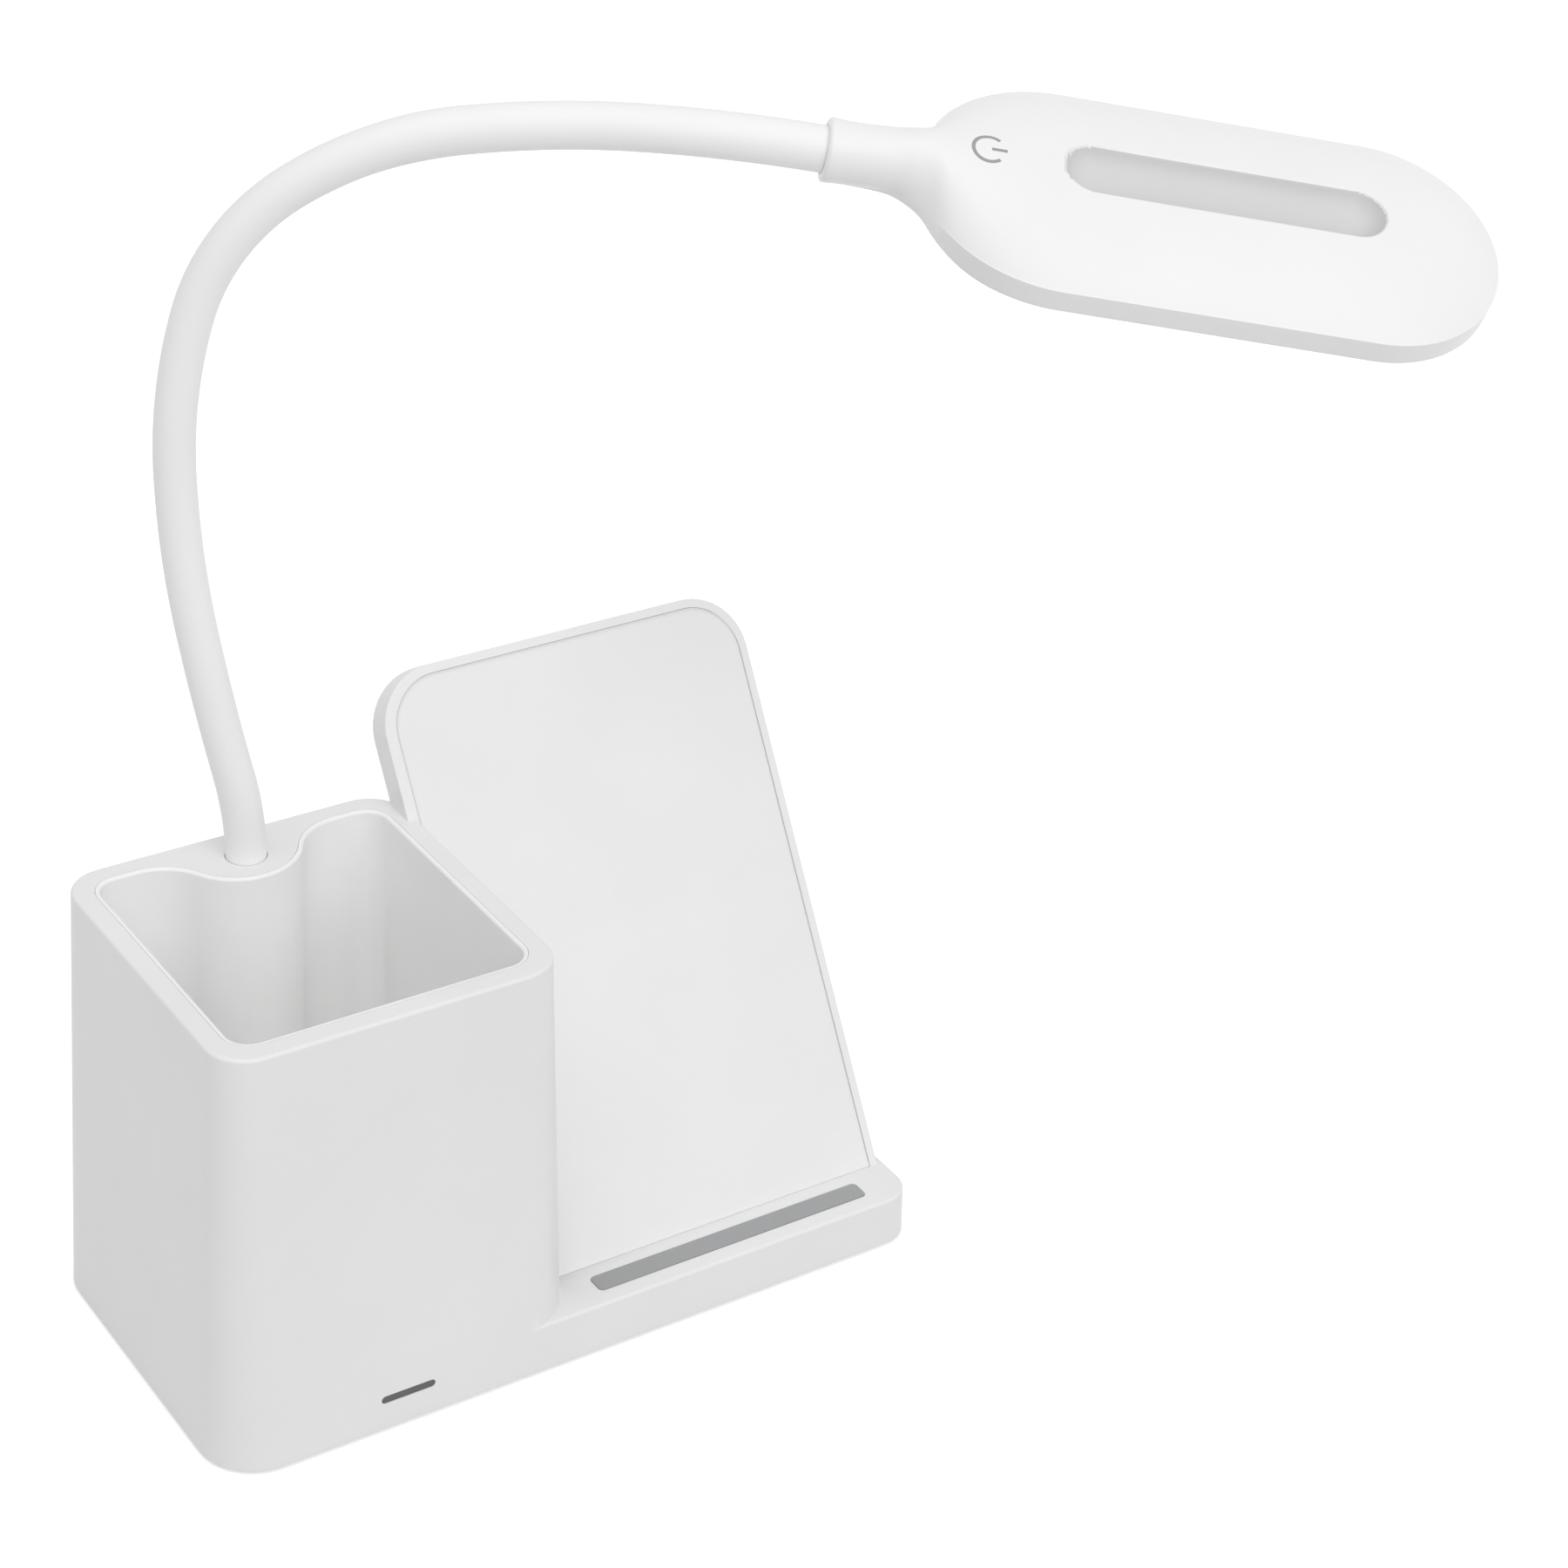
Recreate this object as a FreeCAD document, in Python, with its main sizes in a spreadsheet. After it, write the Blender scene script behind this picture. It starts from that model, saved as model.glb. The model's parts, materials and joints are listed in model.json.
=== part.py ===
"""Desk lamp with a pen pot, a leaning charging rest and a gooseneck head.

Units are millimetres, +Z up. The origin is on the table, under the middle of the base.
+X runs from the pot to the charging rest and +Y from the ledge to the back.
"""
import FreeCAD
import Part
import math
import os
import Sketcher

Vector = FreeCAD.Vector
Rotation = FreeCAD.Rotation
Placement = FreeCAD.Placement

document = FreeCAD.newDocument("pen_pot_lamp")

# ---------------------------------------------------------------- driving dimensions
SIZES = [
    # base and pot
    ("base_depth", 85.9, "depth of the base at its lower edge"),
    ("base_height", 11.6, "height of the tray that carries the ledge"),
    ("foot_height", 1.0, "how far the feet hold the base off the table"),
    ("pot_width", 76.8, "outer width of the pot at its rim"),
    ("pot_height", 100.0, "height of the pot above the lower edge"),
    ("wall_flare", 3.8, "how far each wall leans out from rim to lower edge"),
    ("rim_corner", 9.0, "corner radius of the pot at its rim"),
    ("end_corner", 7.4, "corner radius at the right end of the base"),
    ("shell_wall", 2.2, "moulded wall of the housing"),
    ("rim_plate", 3.0, "thickness of the inward rim of the pot"),
    ("edge_round", 0.8, "rounding of the rim and tray edges"),
    # pot liner
    ("pot_wall", 5.5, "from the outer rim edge to the liner's inner face"),
    ("liner_wall", 1.0, "wall of the liner"),
    ("liner_seam", 0.08, "seam between rim and liner"),
    ("liner_flange", 1.5, "thickness of the liner's flange under the rim"),
    ("liner_floor", 1.5, "floor of the liner"),
    ("liner_bottom", 9.0, "height of the liner's underside above the table"),
    ("liner_round", 0.6, "rounding of the liner's upper inner edge"),
    ("inner_corner", 5.0, "corner radius inside the liner"),
    ("boss_radius", 14.0, "radius of the bulge round the neck, inside the pot"),
    ("boss_blend", 12.0, "radius that blends the bulge into the back wall"),
    ("boss_setback", 5.15, "from the pot's rear face to the bulge's centre"),
    # leaning rest
    ("rest_width", 91.8, "width of the leaning rest"),
    ("rest_length", 135.7, "length of the rest up its slope"),
    ("rest_thickness", 6.9, "thickness of the rest"),
    ("rest_lean", 31.8, "lean of the rest from upright, degrees"),
    ("rest_setback", 12.7, "from the ledge's front edge to the foot of the rest"),
    ("rest_corner", 13.7, "radius of the upper corners of the rest"),
    ("rest_round", 0.3, "rounding of the rest's edges"),
    ("rest_overlap", 2.25, "how far the rest's left side runs into the pot"),
    ("rest_root", 3.0, "how deep the rest is rooted in the tray"),
    ("rest_margin", 2.05, "from the rest's right side to the base's lower right edge"),
    ("panel_border", 2.0, "border above and right of the charging panel"),
    ("panel_left", 2.65, "border left of the charging panel"),
    ("panel_thickness", 1.8, "thickness of the charging panel"),
    ("panel_seam", 0.07, "seam round the charging panel"),
    ("panel_step", 1.6, "ledge that the panel lies on"),
    ("panel_bevel", 1.8, "width of the soft bevel round the panel's face"),
    ("panel_fall", 0.12, "how far that bevel falls back at the panel's edge"),
    ("rest_back_wall", 1.6, "rear wall of the rest"),
    ("coil_radius", 24.0, "outer radius of the charging coil"),
    ("coil_eye", 10.0, "inner radius of the charging coil"),
    ("coil_thickness", 1.0, "thickness of the coil"),
    ("coil_height", 72.0, "height of the coil's centre up the rest"),
    ("ferrite_thickness", 0.6, "thickness of the ferrite sheet"),
    ("ferrite_margin", 1.0, "how far the ferrite sheet reaches beyond the coil"),
    ("pad_margin", 4.0, "how far the pad's edge lies inside the coil's"),
    # ledge and front
    ("strip_length", 69.8, "length of the grip strip"),
    ("strip_corner", 1.2, "corner radius of the grip strip"),
    ("strip_inset", 11.0, "from the base's right side to the grip strip"),
    ("strip_width", 5.0, "width of the grip strip"),
    ("strip_thickness", 1.6, "thickness of the grip strip"),
    ("strip_depth", 1.4, "depth of the strip's groove"),
    ("strip_gap", 0.1, "gap round the strip in its groove"),
    ("strip_setback", 4.1, "from the ledge's front edge to the strip"),
    ("cut_spare", 1.0, "how far a cut starts outside the face that it opens"),
    ("window_length", 12.6, "length of the status window"),
    ("window_height", 1.8, "height of the status window"),
    ("window_rise", 7.3, "height of the window's middle above the lower edge"),
    ("window_gap", 0.05, "gap round the status window"),
    ("window_inset", 0.1, "how far the window's face lies behind the wall's face"),
    ("window_thickness", 3.4, "depth of the status window"),
    # floor of the base
    ("cover_thickness", 2.0, "thickness of the bottom cover"),
    ("cover_seam", 0.15, "seam round the bottom cover"),
    ("foot_radius", 5.0, "radius of a foot"),
    ("foot_inset", 13.0, "from the lower edge to a foot's centre"),
    ("foot_recess", 0.8, "how deep a foot sits in the cover"),
    ("foot_gap", 0.1, "radial gap round a foot"),
    ("screw_radius", 1.25, "radius of a screw's shank"),
    ("screw_head", 2.5, "radius of a screw's head"),
    ("screw_length", 7.0, "length of a cover screw under its head"),
    ("screw_head_height", 1.2, "height of a screw's head"),
    ("screw_post", 3.5, "radius of a screw post"),
    ("post_overlap", 0.8, "how far a screw post runs into the wall"),
    ("screw_bite", 0.02, "radial gap round a screw in its post"),
    ("screw_clearance", 0.15, "radial gap round a screw in the cover"),
    ("screw_spare", 1.5, "depth of a post's hole beyond the screw"),
    ("ballast_thickness", 4.0, "thickness of the ballast plate"),
    ("ballast_margin", 9.4, "from the pot's rim edge in to the ballast plate's edge"),
    # boards in the base
    ("board_thickness", 1.6, "thickness of the circuit boards"),
    ("board_rise", 2.0, "height and radius of the board posts on the cover"),
    ("board_inset", 4.0, "from a board's end to its post"),
    ("board_gap", 1.2, "gap between the main board and the housing's rear wall"),
    ("main_length", 46.0, "length of the main board"),
    ("main_depth", 26.0, "depth of the main board"),
    ("charger_length", 46.0, "length of the charger board"),
    ("charger_depth", 24.0, "depth of the charger board"),
    ("inlet_width", 8.9, "width of the power inlet"),
    ("inlet_height", 3.2, "height of the power inlet"),
    ("inlet_depth", 7.5, "depth of the power inlet"),
    ("inlet_wall", 0.4, "wall of the inlet's metal shell"),
    ("inlet_back", 1.0, "thickness of the inlet's closed end"),
    ("inlet_reach", 2.6, "from the pot's rear face to the inlet's mouth"),
    ("inlet_gap", 0.15, "gap between inlet and housing"),
    # neck
    ("neck_setback", 9.8, "from the pot's rear face to the neck's axis"),
    ("neck_turn", -29.4, "direction in which the neck leans, from +X, degrees"),
    ("neck_radius", 4.26, "outer radius of the sleeve in its lower half"),
    ("neck_swell", 0.36, "how much thicker the sleeve is at the head"),
    ("hose_radius", 3.0, "outer radius of the metal hose"),
    ("hose_bore", 2.0, "radius of the hose's bore"),
    ("sleeve_fit", 0.05, "radial gap between sleeve and hose"),
    ("neck_stub", 20.0, "neck length from the rim to the first bend"),
    ("link_length", 34.38, "neck length between two bends"),
    ("socket_depth", 30.0, "how deep the neck stands in the boss"),
    ("socket_gap", 0.25, "radial gap between sleeve and boss"),
    ("socket_shelf", 4.0, "thickness of the shelf that clamps the neck"),
    ("column_wall", 1.8, "wall of the column that holds the neck"),
    ("ball_radius", 3.85, "radius of the ball end of a sleeve stretch"),
    ("ball_gap", 0.3, "gap between ball end and cup end"),
    ("cup_edge", 2.4, "from the bend to the edge of a cup end"),
    ("ball_shoulder", 0.8, "from the bend to the full sleeve beyond the ball"),
    ("ball_back", 1.8, "how far the ball end reaches back from the bend"),
    ("hose_gap", 4.3, "from the bend back to the end of the hose stretch"),
    ("hose_inset", 0.2, "how far a hose stretch starts inside its ball end"),
    ("nut_bite", 0.02, "radial gap between the end nut and the hose"),
    ("nut_radius", 6.0, "radius of the neck's lock nut"),
    ("nut_height", 4.0, "height of the neck's lock nut"),
    # head
    ("head_length", 136.0, "length of the head from the collar's mouth"),
    ("head_width", 52.8, "width of the head"),
    ("head_band", 5.9, "height of the band round the head"),
    ("head_drop", 0.75, "from the neck's axis down to the band's upper edge"),
    ("head_crown", 7.5, "how far the top is domed above the band"),
    ("head_wall", 1.6, "wall of the head shell"),
    ("head_roll", 24.75, "turn of the head about the neck's end, degrees"),
    ("head_shoulder", 47.0, "from the collar's mouth to the full width"),
    ("collar_radius", 6.0, "outer radius of the collar"),
    ("collar_length", 14.0, "length of the collar before it widens"),
    ("collar_gap", 0.3, "radial gap between collar and sleeve"),
    ("collar_mouth", 5.0, "how deep the sleeve enters the collar"),
    ("trough_width", 12.1, "width of the trough in the top"),
    ("trough_start", 51.9, "centre of the trough's near end"),
    ("trough_end", 104.3, "centre of the trough's far end"),
    ("trough_depth", 4.2, "depth of the trough"),
    ("bushing_radius", 4.7, "outer radius of the bushing in the collar"),
    ("bushing_length", 8.0, "length of the bushing"),
    ("bushing_gap", 0.3, "gap between the sleeve's end and the bushing"),
    ("bushing_fit", 0.02, "radial gap between bushing and collar"),
    ("swivel_fit", 0.05, "radial running gap in the bushing"),
    ("end_nut_gap", 0.2, "gap between the bushing and the end nut"),
    ("hose_tail", 1.0, "length of hose beyond its nuts"),
    ("end_nut_radius", 4.2, "radius of the nut on the neck's end"),
    ("end_nut_length", 2.5, "length of the nut on the neck's end"),
    ("head_base_thickness", 1.5, "thickness of the head's bottom cover"),
    ("head_seam", 0.12, "seam between head shell, bottom cover and diffuser"),
    ("head_screw_radius", 0.85, "radius of a head screw's shank"),
    ("head_screw_head", 1.75, "radius of a head screw's head"),
    ("head_screw_height", 0.7, "height of a head screw's head"),
    ("head_screw_length", 3.8, "length of a head screw under its head"),
    ("head_post", 2.15, "radius of the posts in the head"),
    ("head_post_gap", 0.2, "gap between a post and the diffuser's lip"),
    ("window_border", 5.0, "border of the bottom cover round the diffuser"),
    ("diffuser_thickness", 1.2, "thickness of the diffuser"),
    ("diffuser_lip", 1.6, "lip of the diffuser above the bottom cover"),
    ("light_board_inset", 0.5, "how far the light board's edge lies inside the window's"),
    ("light_board_thickness", 1.0, "thickness of the light board"),
    ("light_gap", 0.3, "gap between light chips and diffuser"),
    ("chip_size", 3.0, "side of a light chip"),
    ("chip_height", 0.7, "height of a light chip"),
    ("chip_pitch", 7.5, "distance between light chips along the board"),
    ("chip_row_gap", 22.0, "distance between the two rows of chips"),
    ("mark_place", 31.4, "from the collar's mouth to the power mark's centre"),
    ("mark_radius", 3.2, "radius of the power mark"),
    ("mark_line", 0.6, "line width of the power mark"),
    ("mark_bar", 3.04, "length of the power mark's bar"),
    ("mark_bar_start", 0.45, "from the power mark's centre to its bar"),
    ("mark_depth", 0.4, "depth of the power mark's inlay"),
    ("mark_rise", 0.25, "how far the inlay reaches above the collar's height"),
    ("mark_fit", 0.02, "gap round the power mark's inlay"),
    ("mark_opening", 100.0, "opening of the power mark's ring, degrees"),
    ("spring_radius", 2.4, "radius of the touch spring"),
    ("spring_wire", 0.35, "radius of the touch spring's wire"),
    ("spring_gap", 0.1, "gap at each end of the touch spring"),
]

# Lean of the neck's centre line from upright at each bend, first bend to collar, degrees.
NECK_LEANS = [-12.78, -9.55, -1.24, 15.53, 56.14, 82.63, 92.58, 98.23]
# Share of the swelling that each stretch of the sleeve has, from the base to the head.
SWELLING = ["0", "0", "0", "0", "0.25", "0.5", "1", "1"]

sheet = document.addObject("Spreadsheet::Sheet", "size")
for row, (alias, number, meaning) in enumerate(SIZES, start=1):
    sheet.set("A%d" % row, str(number))
    sheet.setAlias("A%d" % row, alias)
    sheet.set("B%d" % row, meaning)
for step, lean in enumerate(NECK_LEANS, start=1):
    row = len(SIZES) + step
    sheet.set("A%d" % row, str(lean))
    sheet.setAlias("A%d" % row, "neck_lean_%d" % step)
document.recompute()

node_objects = []

# Taken off the radius of a full-round end, so that its flat side does not vanish.
HAIR = "0.001"
# Sections of the widening collar: distance beyond its straight part, half width as a share
# of the head's width, and how much taller it is than the collar.
COLLAR_SECTIONS = [("6", "0.17", "0"), ("14", "0.29", "0.05")]
SHOULDER_SHARE, SHOULDER_RISE = "0.34", "0.15"
# How many more light chips fit in a row than the straight part of the head has room for.
CHIPS_IN_ENDS = 3
SPRING_TURNS = 3


def worth(expression):
    """Number that an expression of sheet cells gives now."""
    found = sheet.evalExpression(expression)
    return float(getattr(found, "Value", found))


def size(alias):
    return float(sheet.get(alias))


def bind(target, **expressions):
    """Tie properties of an object to expressions of the sheet."""
    for name, expression in expressions.items():
        target.setExpression(name, expression)
    return target


def place(target, x="0", y="0", z="0"):
    """Tie the position of an object to expressions of the sheet."""
    target.setExpression(".Placement.Base.x", x)
    target.setExpression(".Placement.Base.y", y)
    target.setExpression(".Placement.Base.z", z)
    return target


def node(target, label):
    """Name a finished sub-part; its label is its file's name."""
    target.Label = label
    node_objects.append(target)
    return target


# Places that several pieces share, as expressions of the sheet.
BASE_LENGTH = ("(size.wall_flare + size.pot_width - size.rest_overlap + size.rest_width"
               " + size.rest_margin)")
POT_X = "(-" + BASE_LENGTH + " / 2 + size.wall_flare + size.pot_width / 2)"
POT_REAR = "(size.base_depth / 2 - size.wall_flare)"
RIM_Z = "(size.foot_height + size.pot_height)"
TRAY_Z = "(size.foot_height + size.base_height)"
COVER_Z = "(size.foot_height + size.cover_thickness)"
BOARD_Z = "(size.foot_height + size.cover_thickness + size.board_rise)"
TAPER = "-atan(size.wall_flare / size.pot_height)"
LEDGE_FRONT = ("(-size.base_depth / 2 + size.wall_flare"
               " * size.base_height / size.pot_height)")
LOW_CORNER = "(size.rim_corner + size.wall_flare)"
REST_LEFT = "(" + POT_X + " + size.pot_width / 2 - size.rest_overlap)"
REST_X = "(" + REST_LEFT + " + size.rest_width / 2)"
REST_FOOT = "(" + LEDGE_FRONT + " + size.rest_setback)"
STRIP_X = "(" + BASE_LENGTH + " / 2 - size.strip_inset - size.strip_length / 2)"
NECK_Y = "(" + POT_REAR + " - size.neck_setback)"
BOSS_Y = "(" + POT_REAR + " - size.boss_setback)"
MAIN_Y = ("(" + POT_REAR + " + size.wall_flare - size.shell_wall - size.board_gap"
          " - size.main_depth / 2)")
CHARGER_Y = "(" + LEDGE_FRONT + " + size.rest_setback / 2 + size.charger_depth / 2)"
PAD_THICKNESS = ("(size.rest_thickness - size.rest_back_wall - size.panel_thickness"
                 " - size.coil_thickness - size.ferrite_thickness)")
OPENING_REACH = "(size.shell_wall + size.wall_flare + 2 * size.cut_spare)"
BUSHING_END = "(size.collar_mouth + size.bushing_gap + size.bushing_length)"


# ---------------------------------------------------------------- sketch helpers
def origin_plane(body, role):
    return [item for item in body.Origin.OriginFeatures if item.Role == role][0]


def new_body(label):
    return node(document.addObject("PartDesign::Body", label), label)


def new_sketch(body, name, role="XY_Plane", lift="0"):
    """Sketch on an origin plane of its own body, lifted along the plane's normal."""
    sketch = body.newObject("Sketcher::SketchObject", name)
    sketch.AttachmentSupport = [(origin_plane(body, role), "")]
    sketch.MapMode = "FlatFace"
    sketch.setExpression("AttachmentOffset.Base.z", lift)
    return sketch


def rest_sketch(body, name, lift="0"):
    """Sketch on the front plane of the leaning rest: x across, y up the slope."""
    sketch = body.newObject("Sketcher::SketchObject", name)
    sketch.AttachmentSupport = [(origin_plane(body, "XZ_Plane"), "")]
    sketch.MapMode = "FlatFace"
    lean = size("rest_lean")
    sketch.AttachmentOffset = Placement(Vector(0, 0, 0), Rotation(Vector(-1, 0, 0), lean))
    sketch.setExpression("AttachmentOffset.Rotation.Angle", "size.rest_lean * 1 deg")
    forward = "(" + lift + ") * cos(size.rest_lean * 1 deg)"
    upward = "(" + lift + ") * sin(size.rest_lean * 1 deg)"
    sketch.setExpression("AttachmentOffset.Base.z", "-" + REST_FOOT + " + " + forward)
    sketch.setExpression("AttachmentOffset.Base.y", TRAY_Z + " + " + upward)
    return sketch


def fix(sketch, kind, references, expression):
    """Add a driving constraint that is tied to the sheet."""
    number = sketch.addConstraint(Sketcher.Constraint(kind, *references, worth(expression)))
    sketch.setExpression("Constraints[%d]" % number, expression)


def rounded_box(sketch, left, right, low, high, radii):
    """Rectangle from edge expressions; radii are (low left, low right, high right, high left)."""
    x0, x1, y0, y1 = worth(left), worth(right), worth(low), worth(high)
    r = [worth(radius) if radius else 0.0 for radius in radii]
    corners = [(x0, y0), (x1, y0), (x1, y1), (x0, y1)]
    ways = [(1, 0), (0, 1), (-1, 0), (0, -1)]
    first = sketch.GeometryCount
    for side in range(4):
        start, end, way = corners[side], corners[(side + 1) % 4], ways[side]
        begin = Vector(start[0] + way[0] * r[side], start[1] + way[1] * r[side], 0)
        after = r[(side + 1) % 4]
        stop = Vector(end[0] - way[0] * after, end[1] - way[1] * after, 0)
        sketch.addGeometry(Part.LineSegment(begin, stop), False)
    arcs = {}
    turns = [180, 270, 0, 90]
    inward = [(1, 1), (-1, 1), (-1, -1), (1, -1)]
    for corner in range(4):
        if r[corner] == 0.0:
            continue
        middle = Vector(corners[corner][0] + inward[corner][0] * r[corner],
                        corners[corner][1] + inward[corner][1] * r[corner], 0)
        circle = Part.Circle(middle, Vector(0, 0, 1), r[corner])
        start_angle = math.radians(turns[corner])
        arc = Part.ArcOfCircle(circle, start_angle, start_angle + math.pi / 2)
        arcs[corner] = sketch.addGeometry(arc, False)
    for side in range(4):
        line = first + side
        following = first + (side + 1) % 4
        corner = (side + 1) % 4
        if corner in arcs:
            sketch.addConstraint(Sketcher.Constraint("Tangent", line, 2, arcs[corner], 1))
            sketch.addConstraint(Sketcher.Constraint("Tangent", arcs[corner], 2, following, 1))
            fix(sketch, "Radius", (arcs[corner],), radii[corner])
        else:
            sketch.addConstraint(Sketcher.Constraint("Coincident", line, 2, following, 1))
        flat = "Horizontal" if side % 2 == 0 else "Vertical"
        sketch.addConstraint(Sketcher.Constraint(flat, line))
    fix(sketch, "DistanceY", (-1, 1, first, 1), low)
    fix(sketch, "DistanceX", (-1, 1, first + 1, 1), right)
    fix(sketch, "DistanceY", (-1, 1, first + 2, 1), high)
    fix(sketch, "DistanceX", (-1, 1, first + 3, 1), left)


def disc(sketch, x, y, radius):
    """Circle whose centre and radius are expressions."""
    middle = Vector(worth(x), worth(y), 0)
    ring = sketch.addGeometry(Part.Circle(middle, Vector(0, 0, 1), worth(radius)), False)
    fix(sketch, "Radius", (ring,), radius)
    fix(sketch, "DistanceX", (-1, 1, ring, 3), x)
    fix(sketch, "DistanceY", (-1, 1, ring, 3), y)


def pot_outline(sketch, outward):
    """Plan of the pot's inside, with the bulge round the neck, moved outward by a distance."""
    reach = "(size.pot_width / 2 - size.pot_wall + " + outward + ")"
    left, right = POT_X + " - " + reach, POT_X + " + " + reach
    depth = "(" + POT_REAR + " - size.pot_wall + " + outward + ")"
    corner = "(size.inner_corner + " + outward + ")"
    bulge = "(size.boss_radius - " + outward + ")"
    blend = "(size.boss_blend + " + outward + ")"
    x0, x1, y1, c = worth(left), worth(right), worth(depth), worth(corner)
    middle_x, middle_y = worth(POT_X), worth(BOSS_Y)
    b, f = worth(bulge), worth(blend)
    drop = middle_y - (y1 - f)
    span = math.sqrt((b + f) ** 2 - drop ** 2)
    tilt = math.atan2(drop, span)
    up = Vector(0, 0, 1)

    def arc(centre_x, centre_y, radius, start, end):
        circle = Part.Circle(Vector(centre_x, centre_y, 0), up, radius)
        return sketch.addGeometry(Part.ArcOfCircle(circle, start, end), False)

    def line(ax, ay, bx, by):
        return sketch.addGeometry(Part.LineSegment(Vector(ax, ay, 0), Vector(bx, by, 0)), False)

    front = line(x0 + c, -y1, x1 - c, -y1)
    low_right = arc(x1 - c, -y1 + c, c, -math.pi / 2, 0)
    right_side = line(x1, -y1 + c, x1, y1 - c)
    high_right = arc(x1 - c, y1 - c, c, 0, math.pi / 2)
    back_right = line(x1 - c, y1, middle_x + span, y1)
    blend_right = arc(middle_x + span, y1 - f, f, math.pi / 2, math.pi - tilt)
    boss = arc(middle_x, middle_y, b, math.pi + tilt, 2 * math.pi - tilt)
    blend_left = arc(middle_x - span, y1 - f, f, tilt, math.pi / 2)
    back_left = line(middle_x - span, y1, x0 + c, y1)
    high_left = arc(x0 + c, y1 - c, c, math.pi / 2, math.pi)
    left_side = line(x0, y1 - c, x0, -y1 + c)
    low_left = arc(x0 + c, -y1 + c, c, math.pi, 3 * math.pi / 2)
    chain = [(front, 1, 2), (low_right, 1, 2), (right_side, 1, 2), (high_right, 1, 2),
             (back_right, 1, 2), (blend_right, 1, 2), (boss, 2, 1), (blend_left, 1, 2),
             (back_left, 1, 2), (high_left, 1, 2), (left_side, 1, 2), (low_left, 1, 2)]
    for here, after in zip(chain, chain[1:] + chain[:1]):
        sketch.addConstraint(Sketcher.Constraint("Tangent", here[0], here[2], after[0], after[1]))
    for level in (front, back_right, back_left):
        sketch.addConstraint(Sketcher.Constraint("Horizontal", level))
    for upright in (right_side, left_side):
        sketch.addConstraint(Sketcher.Constraint("Vertical", upright))
    for bend in (low_right, high_right, high_left, low_left):
        fix(sketch, "Radius", (bend,), corner)
    for bend in (blend_right, blend_left):
        fix(sketch, "Radius", (bend,), blend)
    fix(sketch, "Radius", (boss,), bulge)
    fix(sketch, "DistanceX", (-1, 1, boss, 3), POT_X)
    fix(sketch, "DistanceY", (-1, 1, boss, 3), BOSS_Y)
    fix(sketch, "DistanceX", (-1, 1, left_side, 1), left)
    fix(sketch, "DistanceX", (-1, 1, right_side, 1), right)
    fix(sketch, "DistanceY", (-1, 1, front, 1), "-" + depth)
    fix(sketch, "DistanceY", (-1, 1, back_right, 1), depth)
    fix(sketch, "DistanceY", (-1, 1, back_left, 1), depth)


def grow(body, kind, sketch, length, taper=None, backward=False):
    """Pad or pocket of a sketch; backward turns its direction round."""
    feature = body.newObject("PartDesign::" + kind, sketch.Name + "_" + kind.lower())
    feature.Profile = sketch
    feature.Reversed = backward
    before = body.Shape.Volume if body.Shape and not body.Shape.isNull() else 0.0
    bind(feature, Length=length)
    if taper:
        bind(feature, TaperAngle=taper)
    sketch.Visibility = False
    document.recompute()
    change = feature.Shape.Volume - before
    if (kind == "Pocket") == (change > -1e-6):
        raise RuntimeError("%s of %s changed nothing" % (kind, body.Label))
    return feature


def round_edges(body, radius, chosen):
    """Fillet the edges of the body's tip that a test picks."""
    tip = body.Tip
    names = ["Edge%d" % (number + 1) for number, edge in enumerate(tip.Shape.Edges)
             if chosen(edge)]
    if not names:
        raise RuntimeError("no edge to round on " + body.Label)
    fillet = body.newObject("PartDesign::Fillet", tip.Name + "_round")
    fillet.Base = (tip, names)
    bind(fillet, Radius=radius)
    document.recompute()
    return fillet


def at_level(edge, z, tolerance=0.01):
    box = edge.BoundBox
    return abs(box.ZMin - z) < tolerance and abs(box.ZMax - z) < tolerance


# ---------------------------------------------------------------- main housing
def base_box(sketch, inward):
    """Plan of the base, moved inward by a distance."""
    half = "(" + BASE_LENGTH + " / 2 - " + inward + ")"
    deep = "(size.base_depth / 2 - " + inward + ")"
    left_corner = "(" + LOW_CORNER + " - " + inward + ")"
    right_corner = "(size.end_corner - " + inward + ")"
    radii = (left_corner, right_corner, right_corner, left_corner)
    rounded_box(sketch, "-" + half, half, "-" + deep, deep, radii)


def pot_box(sketch, inward):
    """Plan of the pot at its lower edge, moved inward by a distance."""
    half = "(size.pot_width / 2 + size.wall_flare - " + inward + ")"
    deep = "(size.base_depth / 2 - " + inward + ")"
    corner = "(" + LOW_CORNER + " - " + inward + ")"
    radii = (corner, corner, corner, corner)
    rounded_box(sketch, POT_X + " - " + half, POT_X + " + " + half, "-" + deep, deep, radii)


def screw_places():
    """Centres of the four cover screws, one in each corner of the base."""
    places = []
    for way_x, corner in ((-1, LOW_CORNER), (1, "size.end_corner")):
        for way_y in (-1, 1):
            reach = ("(" + corner + " - size.shell_wall - size.screw_post"
                     " + size.post_overlap) * sqrt(0.5)")
            x = "%d * (%s / 2 - %s + %s)" % (way_x, BASE_LENGTH, corner, reach)
            y = "%d * (size.base_depth / 2 - %s + %s)" % (way_y, corner, reach)
            places.append((x, y))
    return places


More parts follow.
